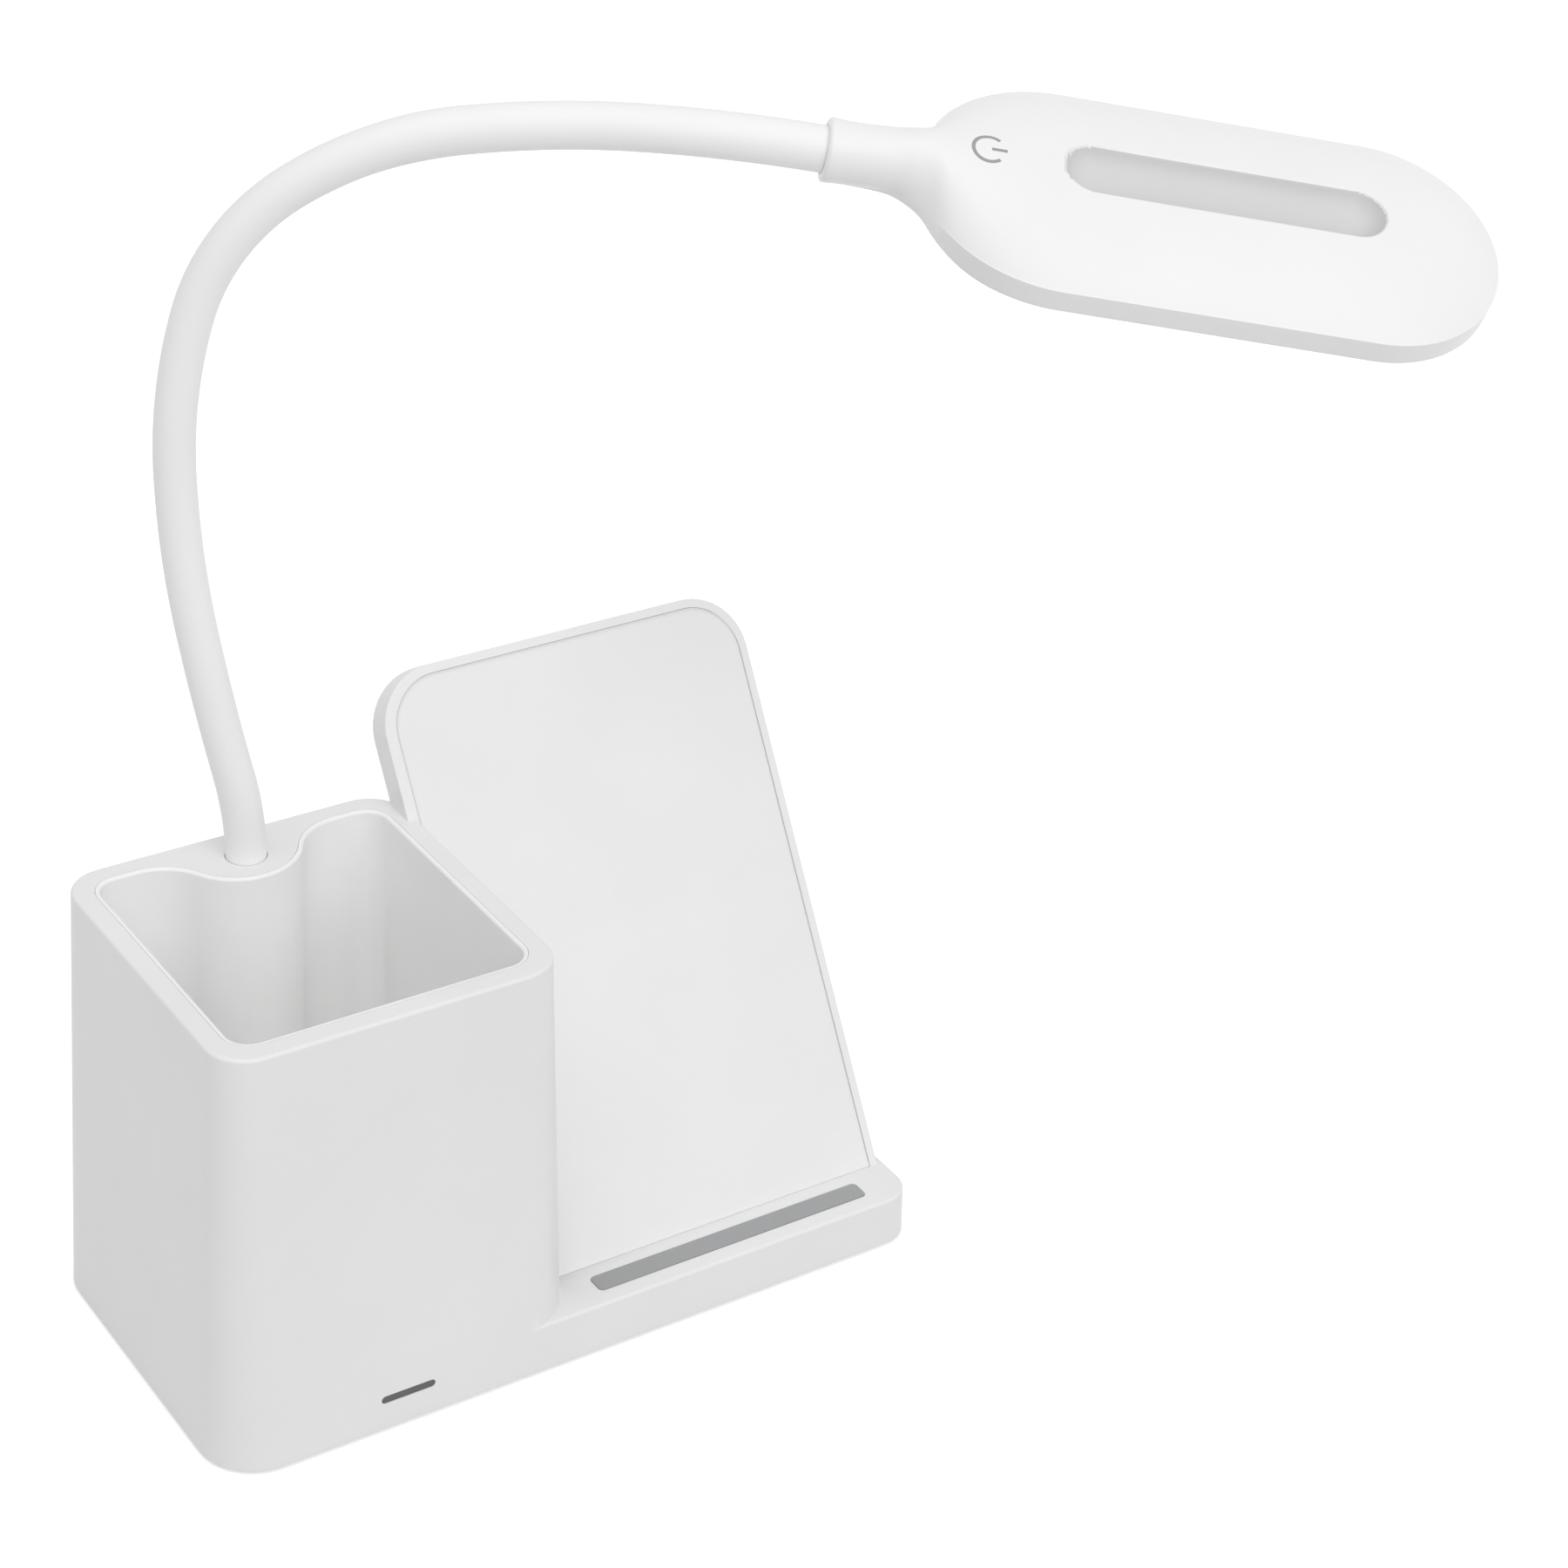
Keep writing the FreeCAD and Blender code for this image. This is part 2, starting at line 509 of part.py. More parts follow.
def make_rest_form():
    """Solid form of the leaning rest, rounded along its edges, to be joined to the housing."""
    body = document.addObject("PartDesign::Body", "rest_form")
    rest = rest_sketch(body, "rest_face")
    rounded_box(rest, REST_LEFT, REST_LEFT + " + size.rest_width", "-size.rest_root",
                "size.rest_length", (None, None, "size.rest_corner", "size.rest_corner"))
    grow(body, "Pad", rest, "size.rest_thickness", backward=True)
    thickness = size("rest_thickness")
    foot = min(edge.BoundBox.ZMax for edge in body.Tip.Shape.Edges)
    round_edges(body, "size.rest_round", lambda edge: edge.BoundBox.ZMax > foot + thickness
                and edge.Length > 1.1 * thickness)
    return body


def make_housing():
    body = new_body("main_housing")
    tray = new_sketch(body, "tray_plan", lift="size.foot_height")
    base_box(tray, "0")
    grow(body, "Pad", tray, "size.base_height", TAPER)
    round_edges(body, "size.edge_round", lambda edge: at_level(edge, worth(TRAY_Z)))
    pot = new_sketch(body, "pot_plan", lift="size.foot_height")
    pot_box(pot, "0")
    grow(body, "Pad", pot, "size.pot_height", TAPER)
    round_edges(body, "size.edge_round", lambda edge: at_level(edge, worth(RIM_Z)))
    joint = body.newObject("PartDesign::Boolean", "rest_joined")
    joint.setObjects([make_rest_form()])
    joint.Type = 0
    document.recompute()

    # hollow of the pot and of the tray, open below
    pot_hollow = new_sketch(body, "pot_hollow", lift="size.foot_height")
    pot_box(pot_hollow, "size.shell_wall")
    grow(body, "Pocket", pot_hollow, "size.pot_height - size.rim_plate", TAPER, backward=True)
    tray_hollow = new_sketch(body, "tray_hollow", lift="size.foot_height")
    base_box(tray_hollow, "size.shell_wall")
    grow(body, "Pocket", tray_hollow, "size.base_height - size.shell_wall", TAPER, backward=True)
    mouth = new_sketch(body, "pot_mouth", lift=RIM_Z)
    pot_outline(mouth, "(size.liner_wall + size.liner_seam)")
    grow(body, "Pocket", mouth, "size.rim_plate")

    # column that clamps the neck, webbed to the back wall
    column_low = RIM_Z + " - size.socket_depth - size.socket_shelf"
    column = new_sketch(body, "neck_column", lift=column_low)
    disc(column, POT_X, NECK_Y, "size.neck_radius + size.socket_gap + size.column_wall")
    grow(body, "Pad", column, "size.socket_depth + size.socket_shelf")
    web = new_sketch(body, "column_web", lift=column_low)
    half_web = "size.shell_wall"
    rounded_box(web, POT_X + " - " + half_web, POT_X + " + " + half_web, NECK_Y,
                POT_REAR + " - size.shell_wall / 2", (None, None, None, None))
    grow(body, "Pad", web, "size.socket_depth + size.socket_shelf - size.shell_wall")
    bore = new_sketch(body, "neck_bore", lift=RIM_Z)
    disc(bore, POT_X, NECK_Y, "size.neck_radius + size.socket_gap")
    grow(body, "Pocket", bore, "size.socket_depth")
    shelf_bore = new_sketch(body, "shelf_bore", lift=RIM_Z)
    disc(shelf_bore, POT_X, NECK_Y, "size.hose_radius + size.sleeve_fit")
    grow(body, "Pocket", shelf_bore, "size.socket_depth + size.socket_shelf + size.cut_spare")

    # seat of the charging panel, the coil's room behind it and the strip's groove
    seat = rest_sketch(body, "panel_seat", lift="size.rest_thickness")
    panel_plan(seat, "0")
    grow(body, "Pocket", seat, "size.rest_thickness + size.panel_thickness")
    room = rest_sketch(body, "coil_room")
    panel_plan(room, "size.panel_step")
    grow(body, "Pocket", room, "size.rest_thickness - size.rest_back_wall")
    groove = new_sketch(body, "strip_groove", lift=TRAY_Z)
    strip_plan(groove, "size.strip_gap")
    grow(body, "Pocket", groove, "size.strip_depth")

    # openings for the status window and the power inlet
    window = new_sketch(body, "window_hole", role="XZ_Plane",
                        lift="size.base_depth / 2 + size.cut_spare")
    window_plan(window, "size.window_gap")
    grow(body, "Pocket", window, OPENING_REACH)
    inlet = new_sketch(body, "inlet_hole", role="XZ_Plane",
                       lift="-size.base_depth / 2 - size.cut_spare")
    inlet_plan(inlet, "size.inlet_gap")
    grow(body, "Pocket", inlet, OPENING_REACH, backward=True)

    # posts for the cover screws
    for number, (x, y) in enumerate(screw_places()):
        post = new_sketch(body, "post_%d" % number, lift=COVER_Z)
        disc(post, x, y, "size.screw_post")
        grow(body, "Pad", post, TRAY_Z + " - (size.strip_depth + size.shell_wall) / 2 - "
             + COVER_Z)
        hole = new_sketch(body, "post_hole_%d" % number, lift=COVER_Z)
        disc(hole, x, y, "size.screw_radius + size.screw_bite")
        grow(body, "Pocket", hole, "size.screw_length - size.cover_thickness + size.screw_spare",
             backward=True)
    return body


def panel_plan(sketch, inward):
    """Front view of the charging panel, moved inward by a distance."""
    corner = "(size.rest_corner - size.panel_border - " + inward + ")"
    rounded_box(sketch, REST_LEFT + " + size.panel_left + " + inward,
                REST_LEFT + " + size.rest_width - size.panel_border - " + inward, inward,
                "size.rest_length - size.panel_border - " + inward,
                (None, None, corner, corner))


def strip_plan(sketch, outward):
    """Plan of the grip strip, moved outward by a distance."""
    middle_y = "(" + LEDGE_FRONT + " + size.strip_setback + size.strip_width / 2)"
    half_length = "(size.strip_length / 2 + " + outward + ")"
    half_width = "(size.strip_width / 2 + " + outward + ")"
    corner = "(size.strip_corner + " + outward + ")"
    rounded_box(sketch, STRIP_X + " - " + half_length, STRIP_X + " + " + half_length,
                middle_y + " - " + half_width, middle_y + " + " + half_width,
                (corner, corner, corner, corner))


def window_plan(sketch, gap):
    """Front view of the status window with round ends."""
    z = "(size.foot_height + size.window_rise)"
    half = "(size.window_length / 2 + " + gap + ")"
    tall = "(size.window_height / 2 + " + gap + ")"
    near = "(" + tall + " - " + HAIR + ")"
    rounded_box(sketch, POT_X + " - " + half, POT_X + " + " + half, z + " - " + tall,
                z + " + " + tall, (near, near, near, near))


def inlet_plan(sketch, gap):
    """Back view of the power inlet with round ends."""
    z = "(" + BOARD_Z + " + size.board_thickness + size.inlet_height / 2)"
    half = "(size.inlet_width / 2 + " + gap + ")"
    tall = "(size.inlet_height / 2 + " + gap + ")"
    near = "(" + tall + " - " + HAIR + ")"
    rounded_box(sketch, REST_X + " - " + half, REST_X + " + " + half, z + " - " + tall,
                z + " + " + tall, (near, near, near, near))


# ---------------------------------------------------------------- pot liner and base floor
def make_liner():
    body = new_body("pot_liner")
    outer = new_sketch(body, "liner_outer", lift="size.liner_bottom")
    pot_outline(outer, "size.liner_wall")
    grow(body, "Pad", outer, RIM_Z + " - size.liner_bottom")
    flange = new_sketch(body, "liner_flange", lift=RIM_Z + " - size.rim_plate - size.liner_flange")
    pot_outline(flange, "(size.liner_wall + size.liner_flange)")
    grow(body, "Pad", flange, "size.liner_flange")
    inner = new_sketch(body, "liner_inner", lift=RIM_Z)
    pot_outline(inner, "0")
    grow(body, "Pocket", inner, RIM_Z + " - size.liner_bottom - size.liner_floor")
    rim = [face for face in body.Tip.Shape.Faces if at_level(face, worth(RIM_Z))][0]
    mouth = [wire for wire in rim.Wires if not wire.isSame(rim.OuterWire)][0]
    round_edges(body, "size.liner_round",
                lambda edge: any(edge.isSame(other) for other in mouth.Edges))
    return body


def make_bottom_cover():
    body = new_body("bottom_cover")
    plan = new_sketch(body, "cover_plan", lift="size.foot_height")
    base_box(plan, "(size.shell_wall + size.cover_seam + size.cover_thickness"
                   " * size.wall_flare / size.pot_height)")
    grow(body, "Pad", plan, "size.cover_thickness")
    for number, (x, y) in enumerate(board_posts()):
        post = new_sketch(body, "board_post_%d" % number, lift=COVER_Z)
        disc(post, x, y, "size.board_rise")
        grow(body, "Pad", post, "size.board_rise")
    for number, (x, y) in enumerate(foot_places()):
        recess = new_sketch(body, "foot_recess_%d" % number, lift="size.foot_height")
        disc(recess, x, y, "size.foot_radius + size.foot_gap")
        grow(body, "Pocket", recess, "size.foot_recess", backward=True)
    for number, (x, y) in enumerate(screw_places()):
        hole = new_sketch(body, "screw_hole_%d" % number, lift="size.foot_height")
        disc(hole, x, y, "size.screw_radius + size.screw_clearance")
        grow(body, "Pocket", hole, "size.cover_thickness", backward=True)
        sink = new_sketch(body, "screw_sink_%d" % number, lift="size.foot_height")
        disc(sink, x, y, "size.screw_head + size.screw_clearance")
        grow(body, "Pocket", sink, "size.screw_head_height", backward=True)
    return body


def foot_places():
    reach_x = "(" + BASE_LENGTH + " / 2 - size.foot_inset - size.foot_radius)"
    reach_y = "(size.base_depth / 2 - size.foot_inset)"
    return [("%d * %s" % (way_x, reach_x), "%d * %s" % (way_y, reach_y))
            for way_x in (-1, 1) for way_y in (-1, 1)]


def board_posts():
    """Two posts under each board."""
    posts = []
    for board_y, depth in ((MAIN_Y, "size.main_depth"), (CHARGER_Y, "size.charger_depth")):
        for way in (-1, 1):
            x = "(%s + %d * (size.main_length / 2 - size.board_inset))" % (REST_X, way)
            posts.append((x, board_y))
    return posts


def add_box(name, length, width, height):
    return bind(document.addObject("Part::Box", name), Length=length, Width=width, Height=height)


def add_cylinder(name, radius, height):
    return bind(document.addObject("Part::Cylinder", name), Radius=radius, Height=height)


def add_sphere(name, radius):
    return bind(document.addObject("Part::Sphere", name), Radius=radius)


def cut(name, base, tool):
    result = document.addObject("Part::Cut", name)
    result.Base, result.Tool = base, tool
    return result


def common(name, first, second):
    result = document.addObject("Part::MultiCommon", name)
    result.Shapes = [first, second]
    return result


def fuse(name, pieces):
    result = document.addObject("Part::MultiFuse", name)
    result.Shapes = pieces
    return result


def ring(name, outer, inner, height):
    """Flat ring or sleeve along Z."""
    body = add_cylinder(name + "_outer", outer, height)
    hole = add_cylinder(name + "_hole", inner, height)
    return cut(name, body, hole)


def make_feet():
    for number, (x, y) in enumerate(foot_places(), start=1):
        label = "rubber_foot_%d" % number
        foot = add_cylinder(label, "size.foot_radius", "size.foot_height + size.foot_recess")
        node(place(foot, x, y), label)


def make_screws():
    screws = []
    for number, (x, y) in enumerate(screw_places()):
        shank = add_cylinder("screw_shank_%d" % number, "size.screw_radius", "size.screw_length")
        place(shank, x, y, "size.foot_height + size.screw_head_height")
        head = add_cylinder("screw_head_%d" % number, "size.screw_head", "size.screw_head_height")
        place(head, x, y, "size.foot_height")
        screws.append(fuse("screw_%d" % number, [shank, head]))
    group = document.addObject("Part::Compound", "base_screws")
    group.Links = screws
    node(group, "base_screws")


def make_ballast():
    half_length = "(size.pot_width / 2 - size.ballast_margin)"
    half_depth = "(" + POT_REAR + " - size.ballast_margin)"
    plate = add_box("ballast_plate", "2 * " + half_length, "2 * " + half_depth,
                    "size.ballast_thickness")
    place(plate, POT_X + " - " + half_length, "-" + half_depth, COVER_Z)
    node(plate, "ballast_plate")


def make_board(label, length, depth, middle_y):
    board = add_box(label, length, depth, "size.board_thickness")
    place(board, REST_X + " - " + length + " / 2", middle_y + " - " + depth + " / 2", BOARD_Z)
    node(board, label)


def make_inlet():
    body = new_body("power_inlet")
    face = "-" + POT_REAR + " - size.inlet_reach"
    outside = new_sketch(body, "inlet_shell", role="XZ_Plane", lift=face)
    inlet_plan(outside, "0")
    grow(body, "Pad", outside, "size.inlet_depth")
    inside = new_sketch(body, "inlet_mouth", role="XZ_Plane", lift=face)
    inlet_plan(inside, "-size.inlet_wall")
    grow(body, "Pocket", inside, "size.inlet_depth - size.inlet_back", backward=True)
    return body


def make_window():
    body = new_body("status_window")
    plan = new_sketch(body, "window_face", role="XZ_Plane",
                      lift="size.base_depth / 2 - size.wall_flare"
                           " * (size.window_rise + size.window_height) / size.pot_height"
                           " - size.window_inset")
    window_plan(plan, "0")
    grow(body, "Pad", plan, "size.window_thickness", backward=True)
    return body


def make_strip():
    body = new_body("grip_strip")
    plan = new_sketch(body, "strip_face", lift=TRAY_Z + " - size.strip_depth")
    strip_plan(plan, "0")
    grow(body, "Pad", plan, "size.strip_thickness")
    return body


# ---------------------------------------------------------------- charging rest
def make_panel():
    body = new_body("charge_panel")
    plate = rest_sketch(body, "panel_plate", lift="-size.panel_thickness")
    panel_plan(plate, "size.panel_seam")
    grow(body, "Pad", plate, "size.panel_thickness - size.panel_fall")
    face = rest_sketch(body, "panel_face", lift="-size.panel_fall")
    panel_plan(face, "size.panel_seam")
    grow(body, "Pad", face, "size.panel_fall", "-atan(size.panel_bevel / size.panel_fall)")


def make_rest_stack():
    """Coil, ferrite sheet and pad lie behind the panel, one on the other."""
    layers = [("charging_coil", "size.coil_thickness", "size.coil_radius", "size.coil_eye"),
              ("ferrite_sheet", "size.ferrite_thickness", "size.coil_radius + size.ferrite_margin",
               None),
              ("coil_pad", PAD_THICKNESS, "size.coil_radius - size.pad_margin", None)]
    behind = "-size.panel_thickness"
    for label, thickness, outer, inner in layers:
        body = new_body(label)
        behind += " - " + thickness
        plan = rest_sketch(body, label + "_plan", lift="(" + behind + ")")
        disc(plan, REST_X, "size.coil_height", outer)
        if inner:
            disc(plan, REST_X, "size.coil_height", inner)
        grow(body, "Pad", plan, thickness)


# ---------------------------------------------------------------- gooseneck
def lean_cell(bend):
    """Lean of the centre line where a stretch starts; stretch 0 starts upright at the rim."""
    return "0" if bend == 0 else "size.neck_lean_%d" % bend


def stretch_length(stretch):
    return "size.neck_stub" if stretch == 0 else "size.link_length"


neck_turn = math.radians(size("neck_turn"))
NECK_AWAY = Vector(math.cos(neck_turn), math.sin(neck_turn), 0)
BEND_AXIS = Vector(-math.sin(neck_turn), math.cos(neck_turn), 0)
UPRIGHT = Vector(0, 0, 1)


def tangent(lean):
    return NECK_AWAY * math.sin(lean) + UPRIGHT * math.cos(lean)


def inward(lean):
    """Direction in which the tangent turns as the lean grows."""
    return NECK_AWAY * math.cos(lean) - UPRIGHT * math.sin(lean)


def follow(start, lean, curve, length):
    """Point at a length along an arc whose lean grows by curve per millimetre."""
    radius = 1 / curve
    return start + inward(lean) * radius - inward(lean + curve * length) * radius


def neck_stretches():
    """Start point, start lean and curvature of each stretch of the neck."""
    stretches = []
    point = Vector(worth(POT_X), worth(NECK_Y), worth(RIM_Z))
    for number in range(len(NECK_LEANS)):
        lean = math.radians(worth(lean_cell(number)))
        after = math.radians(worth(lean_cell(number + 1)))
        length = worth(stretch_length(number))
        curve = (after - lean) / length
        stretches.append((point, lean, curve))
        point = follow(point, lean, curve, length)
    return stretches, point, after


STRETCHES, COLLAR_POINT, COLLAR_LEAN = neck_stretches()
LAST = len(STRETCHES) - 1


def facing(way, side):
    """Rotation whose Z points along way and whose X points along side."""
    return Rotation(side, way.cross(side), way, "ZXY")


def sleeve_radius(stretch):
    return "(size.neck_radius + size.neck_swell * " + SWELLING[stretch] + ")"


def bent_rod(name, stretch, begin, end, radius):
    """Rod along one stretch, from begin to end measured from the stretch's start."""
    start, lean, curve = STRETCHES[stretch]
    begin_at = worth(begin)
    lean_begin = lean + curve * begin_at
    point = follow(start, lean, curve, begin_at)
    out = inward(lean_begin) * (-1 if curve > 0 else 1)
    centre = point - out * abs(1 / curve)
    turn = "(%s - %s)" % (lean_cell(stretch + 1), lean_cell(stretch))
    length = stretch_length(stretch)
    rod = document.addObject("Part::Torus", name)
    bind(rod, Radius1="abs(180 * %s / (pi * %s))" % (length, turn), Radius2=radius,
         Angle3="abs(%s) * (%s - %s) / %s * 1 deg" % (turn, end, begin, length))
    axis = out.cross(tangent(lean_begin))
    rod.Placement = Placement(centre, facing(axis, out))
    return rod


def straight_rod(name, foot, way, radius, length):
    rod = add_cylinder(name, radius, length)
    rod.Placement = Placement(foot, facing(way, BEND_AXIS))
    return rod


def ball(name, stretch, radius, cut_back=None):
    """Ball at a stretch's start, cut flat behind the bend when cut_back is given."""
    if stretch <= LAST:
        start, lean, _ = STRETCHES[stretch]
    else:
        start, lean = COLLAR_POINT, COLLAR_LEAN
    shape = add_sphere(name, radius)
    if cut_back:
        bind(shape, Angle1="-asin(%s / %s)" % (cut_back, radius))
    shape.Placement = Placement(start, facing(tangent(lean), BEND_AXIS))
    return shape


def make_neck():
    """Eight stretches of hose and sleeve, each with a ball end in the cup of the one before."""
    bore = "(size.hose_radius + size.sleeve_fit)"
    rim_point, _, _ = STRETCHES[0]
    foot = rim_point - UPRIGHT * size("socket_depth")
    below = "(size.socket_shelf + size.nut_height + size.hose_tail)"
    hose_foot = foot - UPRIGHT * worth(below)
    down = "(size.socket_depth + " + below + ")"
    beyond = "(" + BUSHING_END + " + size.end_nut_gap + size.end_nut_length + size.hose_tail)"
    along = tangent(COLLAR_LEAN)
    for number in range(len(STRETCHES)):
        length = stretch_length(number)
        first, last = number == 0, number == LAST
        begin = "0" if first else "size.ball_shoulder"
        end = length if last else "(" + length + " - size.cup_edge)"
        hose_begin = "0" if first else "(size.hose_inset - size.ball_back)"
        hose_end = length if last else "(" + length + " - size.hose_gap)"
        tag = "%d" % number
        skin = [bent_rod("skin_" + tag, number, begin, end, sleeve_radius(number))]
        core = [bent_rod("core_" + tag, number, hose_begin, hose_end, "size.hose_radius")]
        hollow = [bent_rod("hollow_" + tag, number, hose_begin, hose_end, "size.hose_bore")]
        reach_back = "0" if first else "(-size.ball_radius)"
        tunnel = [bent_rod("tunnel_" + tag, number, reach_back, length, bore)]
        if first:
            skin.append(straight_rod("skin_foot", foot, UPRIGHT, "size.neck_radius",
                                     "size.socket_depth"))
            core.append(straight_rod("core_foot", hose_foot, UPRIGHT, "size.hose_radius", down))
            hollow.append(straight_rod("hollow_foot", hose_foot, UPRIGHT, "size.hose_bore", down))
            tunnel.append(straight_rod("tunnel_foot", foot, UPRIGHT, bore, "size.socket_depth"))
        else:
            skin.append(ball("ball_" + tag, number, "size.ball_radius", "size.ball_back"))
        if last:
            skin.append(straight_rod("skin_end", COLLAR_POINT, along, sleeve_radius(number),
                                     "size.collar_mouth"))
            core.append(straight_rod("core_end", COLLAR_POINT, along, "size.hose_radius", beyond))
            hollow.append(straight_rod("hollow_end", COLLAR_POINT, along, "size.hose_bore",
                                       beyond))
            tunnel.append(straight_rod("tunnel_end", COLLAR_POINT, along, bore,
                                       "size.collar_mouth"))
        tools = tunnel
        if not last:
            tools = tunnel + [ball("cup_" + tag, number + 1,
                                   "(size.ball_radius + size.ball_gap)")]
        sleeve = cut("neck_sleeve_" + tag, fuse("skins_" + tag, skin),
                     fuse("tunnels_" + tag, tools))
        node(sleeve, "neck_sleeve_" + tag)
        hose = cut("neck_hose_" + tag, joined("cores_" + tag, core),
                   joined("hollows_" + tag, hollow))
        node(hose, "neck_hose_" + tag)


def joined(name, pieces):
    """The piece itself, or the fusion of several."""
    return pieces[0] if len(pieces) == 1 else fuse(name, pieces)


def make_lock_nut():
    prism = document.addObject("Part::Prism", "nut_prism")
    prism.Polygon = 6
    bind(prism, Circumradius="size.nut_radius", Height="size.nut_height")
    hole = add_cylinder("nut_hole", "size.hose_radius + size.sleeve_fit", "size.nut_height")
    nut = cut("neck_lock_nut", prism, hole)
    place(nut, POT_X, NECK_Y,
          RIM_Z + " - size.socket_depth - size.socket_shelf - size.nut_height")
    node(nut, "neck_lock_nut")


def make_end_nut():
    nut = ring("end_nut", "size.end_nut_radius", "size.hose_radius + size.nut_bite",
               "size.end_nut_length")
    reach = worth(BUSHING_END + " + size.end_nut_gap")
    nut.Placement = Placement(COLLAR_POINT + tangent(COLLAR_LEAN) * reach,
                              facing(tangent(COLLAR_LEAN), BEND_AXIS))
    node(nut, "neck_end_nut")


# ---------------------------------------------------------------- head
# The head is drawn with x along its length from the collar's mouth, y across and z out of
# its domed top; this placement then carries it to the end of the neck.
def head_placement():
    along = tangent(COLLAR_LEAN)
    across = BEND_AXIS
    over = along.cross(across)
    roll = math.radians(size("head_roll"))
    side = across * math.cos(roll) + over * math.sin(roll)
    top = over * math.cos(roll) - across * math.sin(roll)
    return Placement(COLLAR_POINT, Rotation(along, side, top, "XYZ"))


HALF = "(size.head_width / 2)"
NEAR = "size.head_shoulder"
FAR = "(size.head_length - " + HALF + ")"
SPAN = "(" + FAR + " - " + NEAR + ")"
BAND_LOW = "(-size.head_drop - size.head_band)"
CREST = "(size.head_crown - size.head_drop)"
DOME = "((" + HALF + "^2 + size.head_crown^2) / (2 * size.head_crown))"
SAG = "(size.head_crown * (size.trough_width / 2)^2 / " + HALF + "^2)"
BITE = "(size.trough_depth - " + SAG + ")"
TROUGH = "(((size.trough_width / 2)^2 + " + BITE + "^2) / (2 * " + BITE + "))"
WINDOW_HALF = "(" + HALF + " - size.head_wall - size.window_border)"
BASE_TOP = "(" + BAND_LOW + " + size.head_base_thickness)"
LIGHT_LOW = ("(" + BASE_TOP + " + size.diffuser_thickness + size.light_gap"
             " + size.chip_height)")
LIGHT_TOP = "(" + LIGHT_LOW + " + size.light_board_thickness)"


def stadium(name, half, low, height):
    """Upright prism with round ends over the head's two end centres."""
    box = place(add_box(name + "_mid", SPAN, "2 * " + half, height), NEAR, "-" + half, low)
    near = place(add_cylinder(name + "_near", half, height), NEAR, "0", low)
    far = place(add_cylinder(name + "_far", half, height), FAR, "0", low)
    return fuse(name, [box, near, far])


def capsule(name, radius, near, far, z):
    """Round bar with ball ends, lying along the head."""
    bar = add_cylinder(name + "_bar", radius, far + " - " + near)
    bar.Placement.Rotation = Rotation(Vector(0, 1, 0), 90)
    place(bar, near, "0", z)
    ends = [place(add_sphere(name + "_near", radius), near, "0", z),
            place(add_sphere(name + "_far", radius), far, "0", z)]
    return fuse(name, [bar] + ends)


def domed(name, inset, low):
    """Domed form of the head, all faces moved inward by inset, with its base at low."""
    dome = "(" + DOME + " - " + inset + ")"
    crown = capsule(name + "_crown", dome, NEAR, FAR, CREST + " - " + DOME)
    plan = stadium(name + "_plan", "(" + HALF + " - " + inset + ")", low,
                   "size.head_crown + 2 * size.head_band")
    return common(name, crown, plan)


def collar_rod(name, radius, begin, length):
    rod = add_cylinder(name, radius, length)
    rod.Placement.Rotation = Rotation(Vector(0, 1, 0), 90)
    return place(rod, begin)


def collar_loft():
    """Collar that widens into the head."""
    straight = "(size.collar_length - 2)"
    stations = [("0", "size.collar_radius", "size.collar_radius"),
                (straight, "size.collar_radius", "size.collar_radius")]
    for beyond, share, rise in COLLAR_SECTIONS:
        stations.append(("(size.collar_length + " + beyond + ")",
                         "size.head_width * " + share, "size.collar_radius + " + rise))
    stations.append((NEAR, "size.head_width * " + SHOULDER_SHARE,
                     "size.collar_radius + " + SHOULDER_RISE))
    sections = []
    for number, (x, half, tall) in enumerate(stations):
        section = document.addObject("Part::Ellipse", "collar_section_%d" % number)
        bind(section, MajorRadius="max(%s; %s + %s)" % (half, tall, HAIR), MinorRadius=tall)
        section.Placement.Rotation = Rotation(Vector(0, 1, 0), Vector(0, 0, 1),
                                              Vector(1, 0, 0), "ZXY")
        sections.append(place(section, x))
    loft = document.addObject("Part::Loft", "collar_form")
    loft.Sections = sections
    loft.Solid = True
    return loft


def mark_pieces(name, slack):
    """Ring with an opening and a bar, the generic power mark."""
    low = "(size.collar_radius - size.mark_depth - " + slack + ")"
    tall = "(size.mark_depth + size.mark_rise)"
    half_line = "(size.mark_line / 2 + " + slack + ")"
    outer = add_cylinder(name + "_outer", "size.mark_radius + " + half_line, tall)
    bind(outer, Angle="360 - size.mark_opening")
    inner = add_cylinder(name + "_inner", "size.mark_radius - " + half_line, tall)
    for disc_piece in (outer, inner):
        disc_piece.Placement.Rotation = Rotation(UPRIGHT, size("mark_opening") / 2)
        place(disc_piece, "size.mark_place", "0", low)
    bar = add_box(name + "_bar", "size.mark_bar", "2 * " + half_line, tall)
    place(bar, "size.mark_place + size.mark_bar_start", "-" + half_line, low)
    return fuse(name, [cut(name + "_ring", outer, inner), bar])


def head_node(piece, label):
    """Carry a finished piece of the head to the end of the neck."""
    piece.Placement = HEAD_PLACEMENT.multiply(piece.Placement)
    return node(piece, label)


HEAD_PLACEMENT = head_placement()


def head_screw_places():
    side = "(" + HALF + " - size.head_wall - size.window_border / 2)"
    return [(end, "%d * %s" % (way, side)) for end in (NEAR, FAR) for way in (-1, 1)]


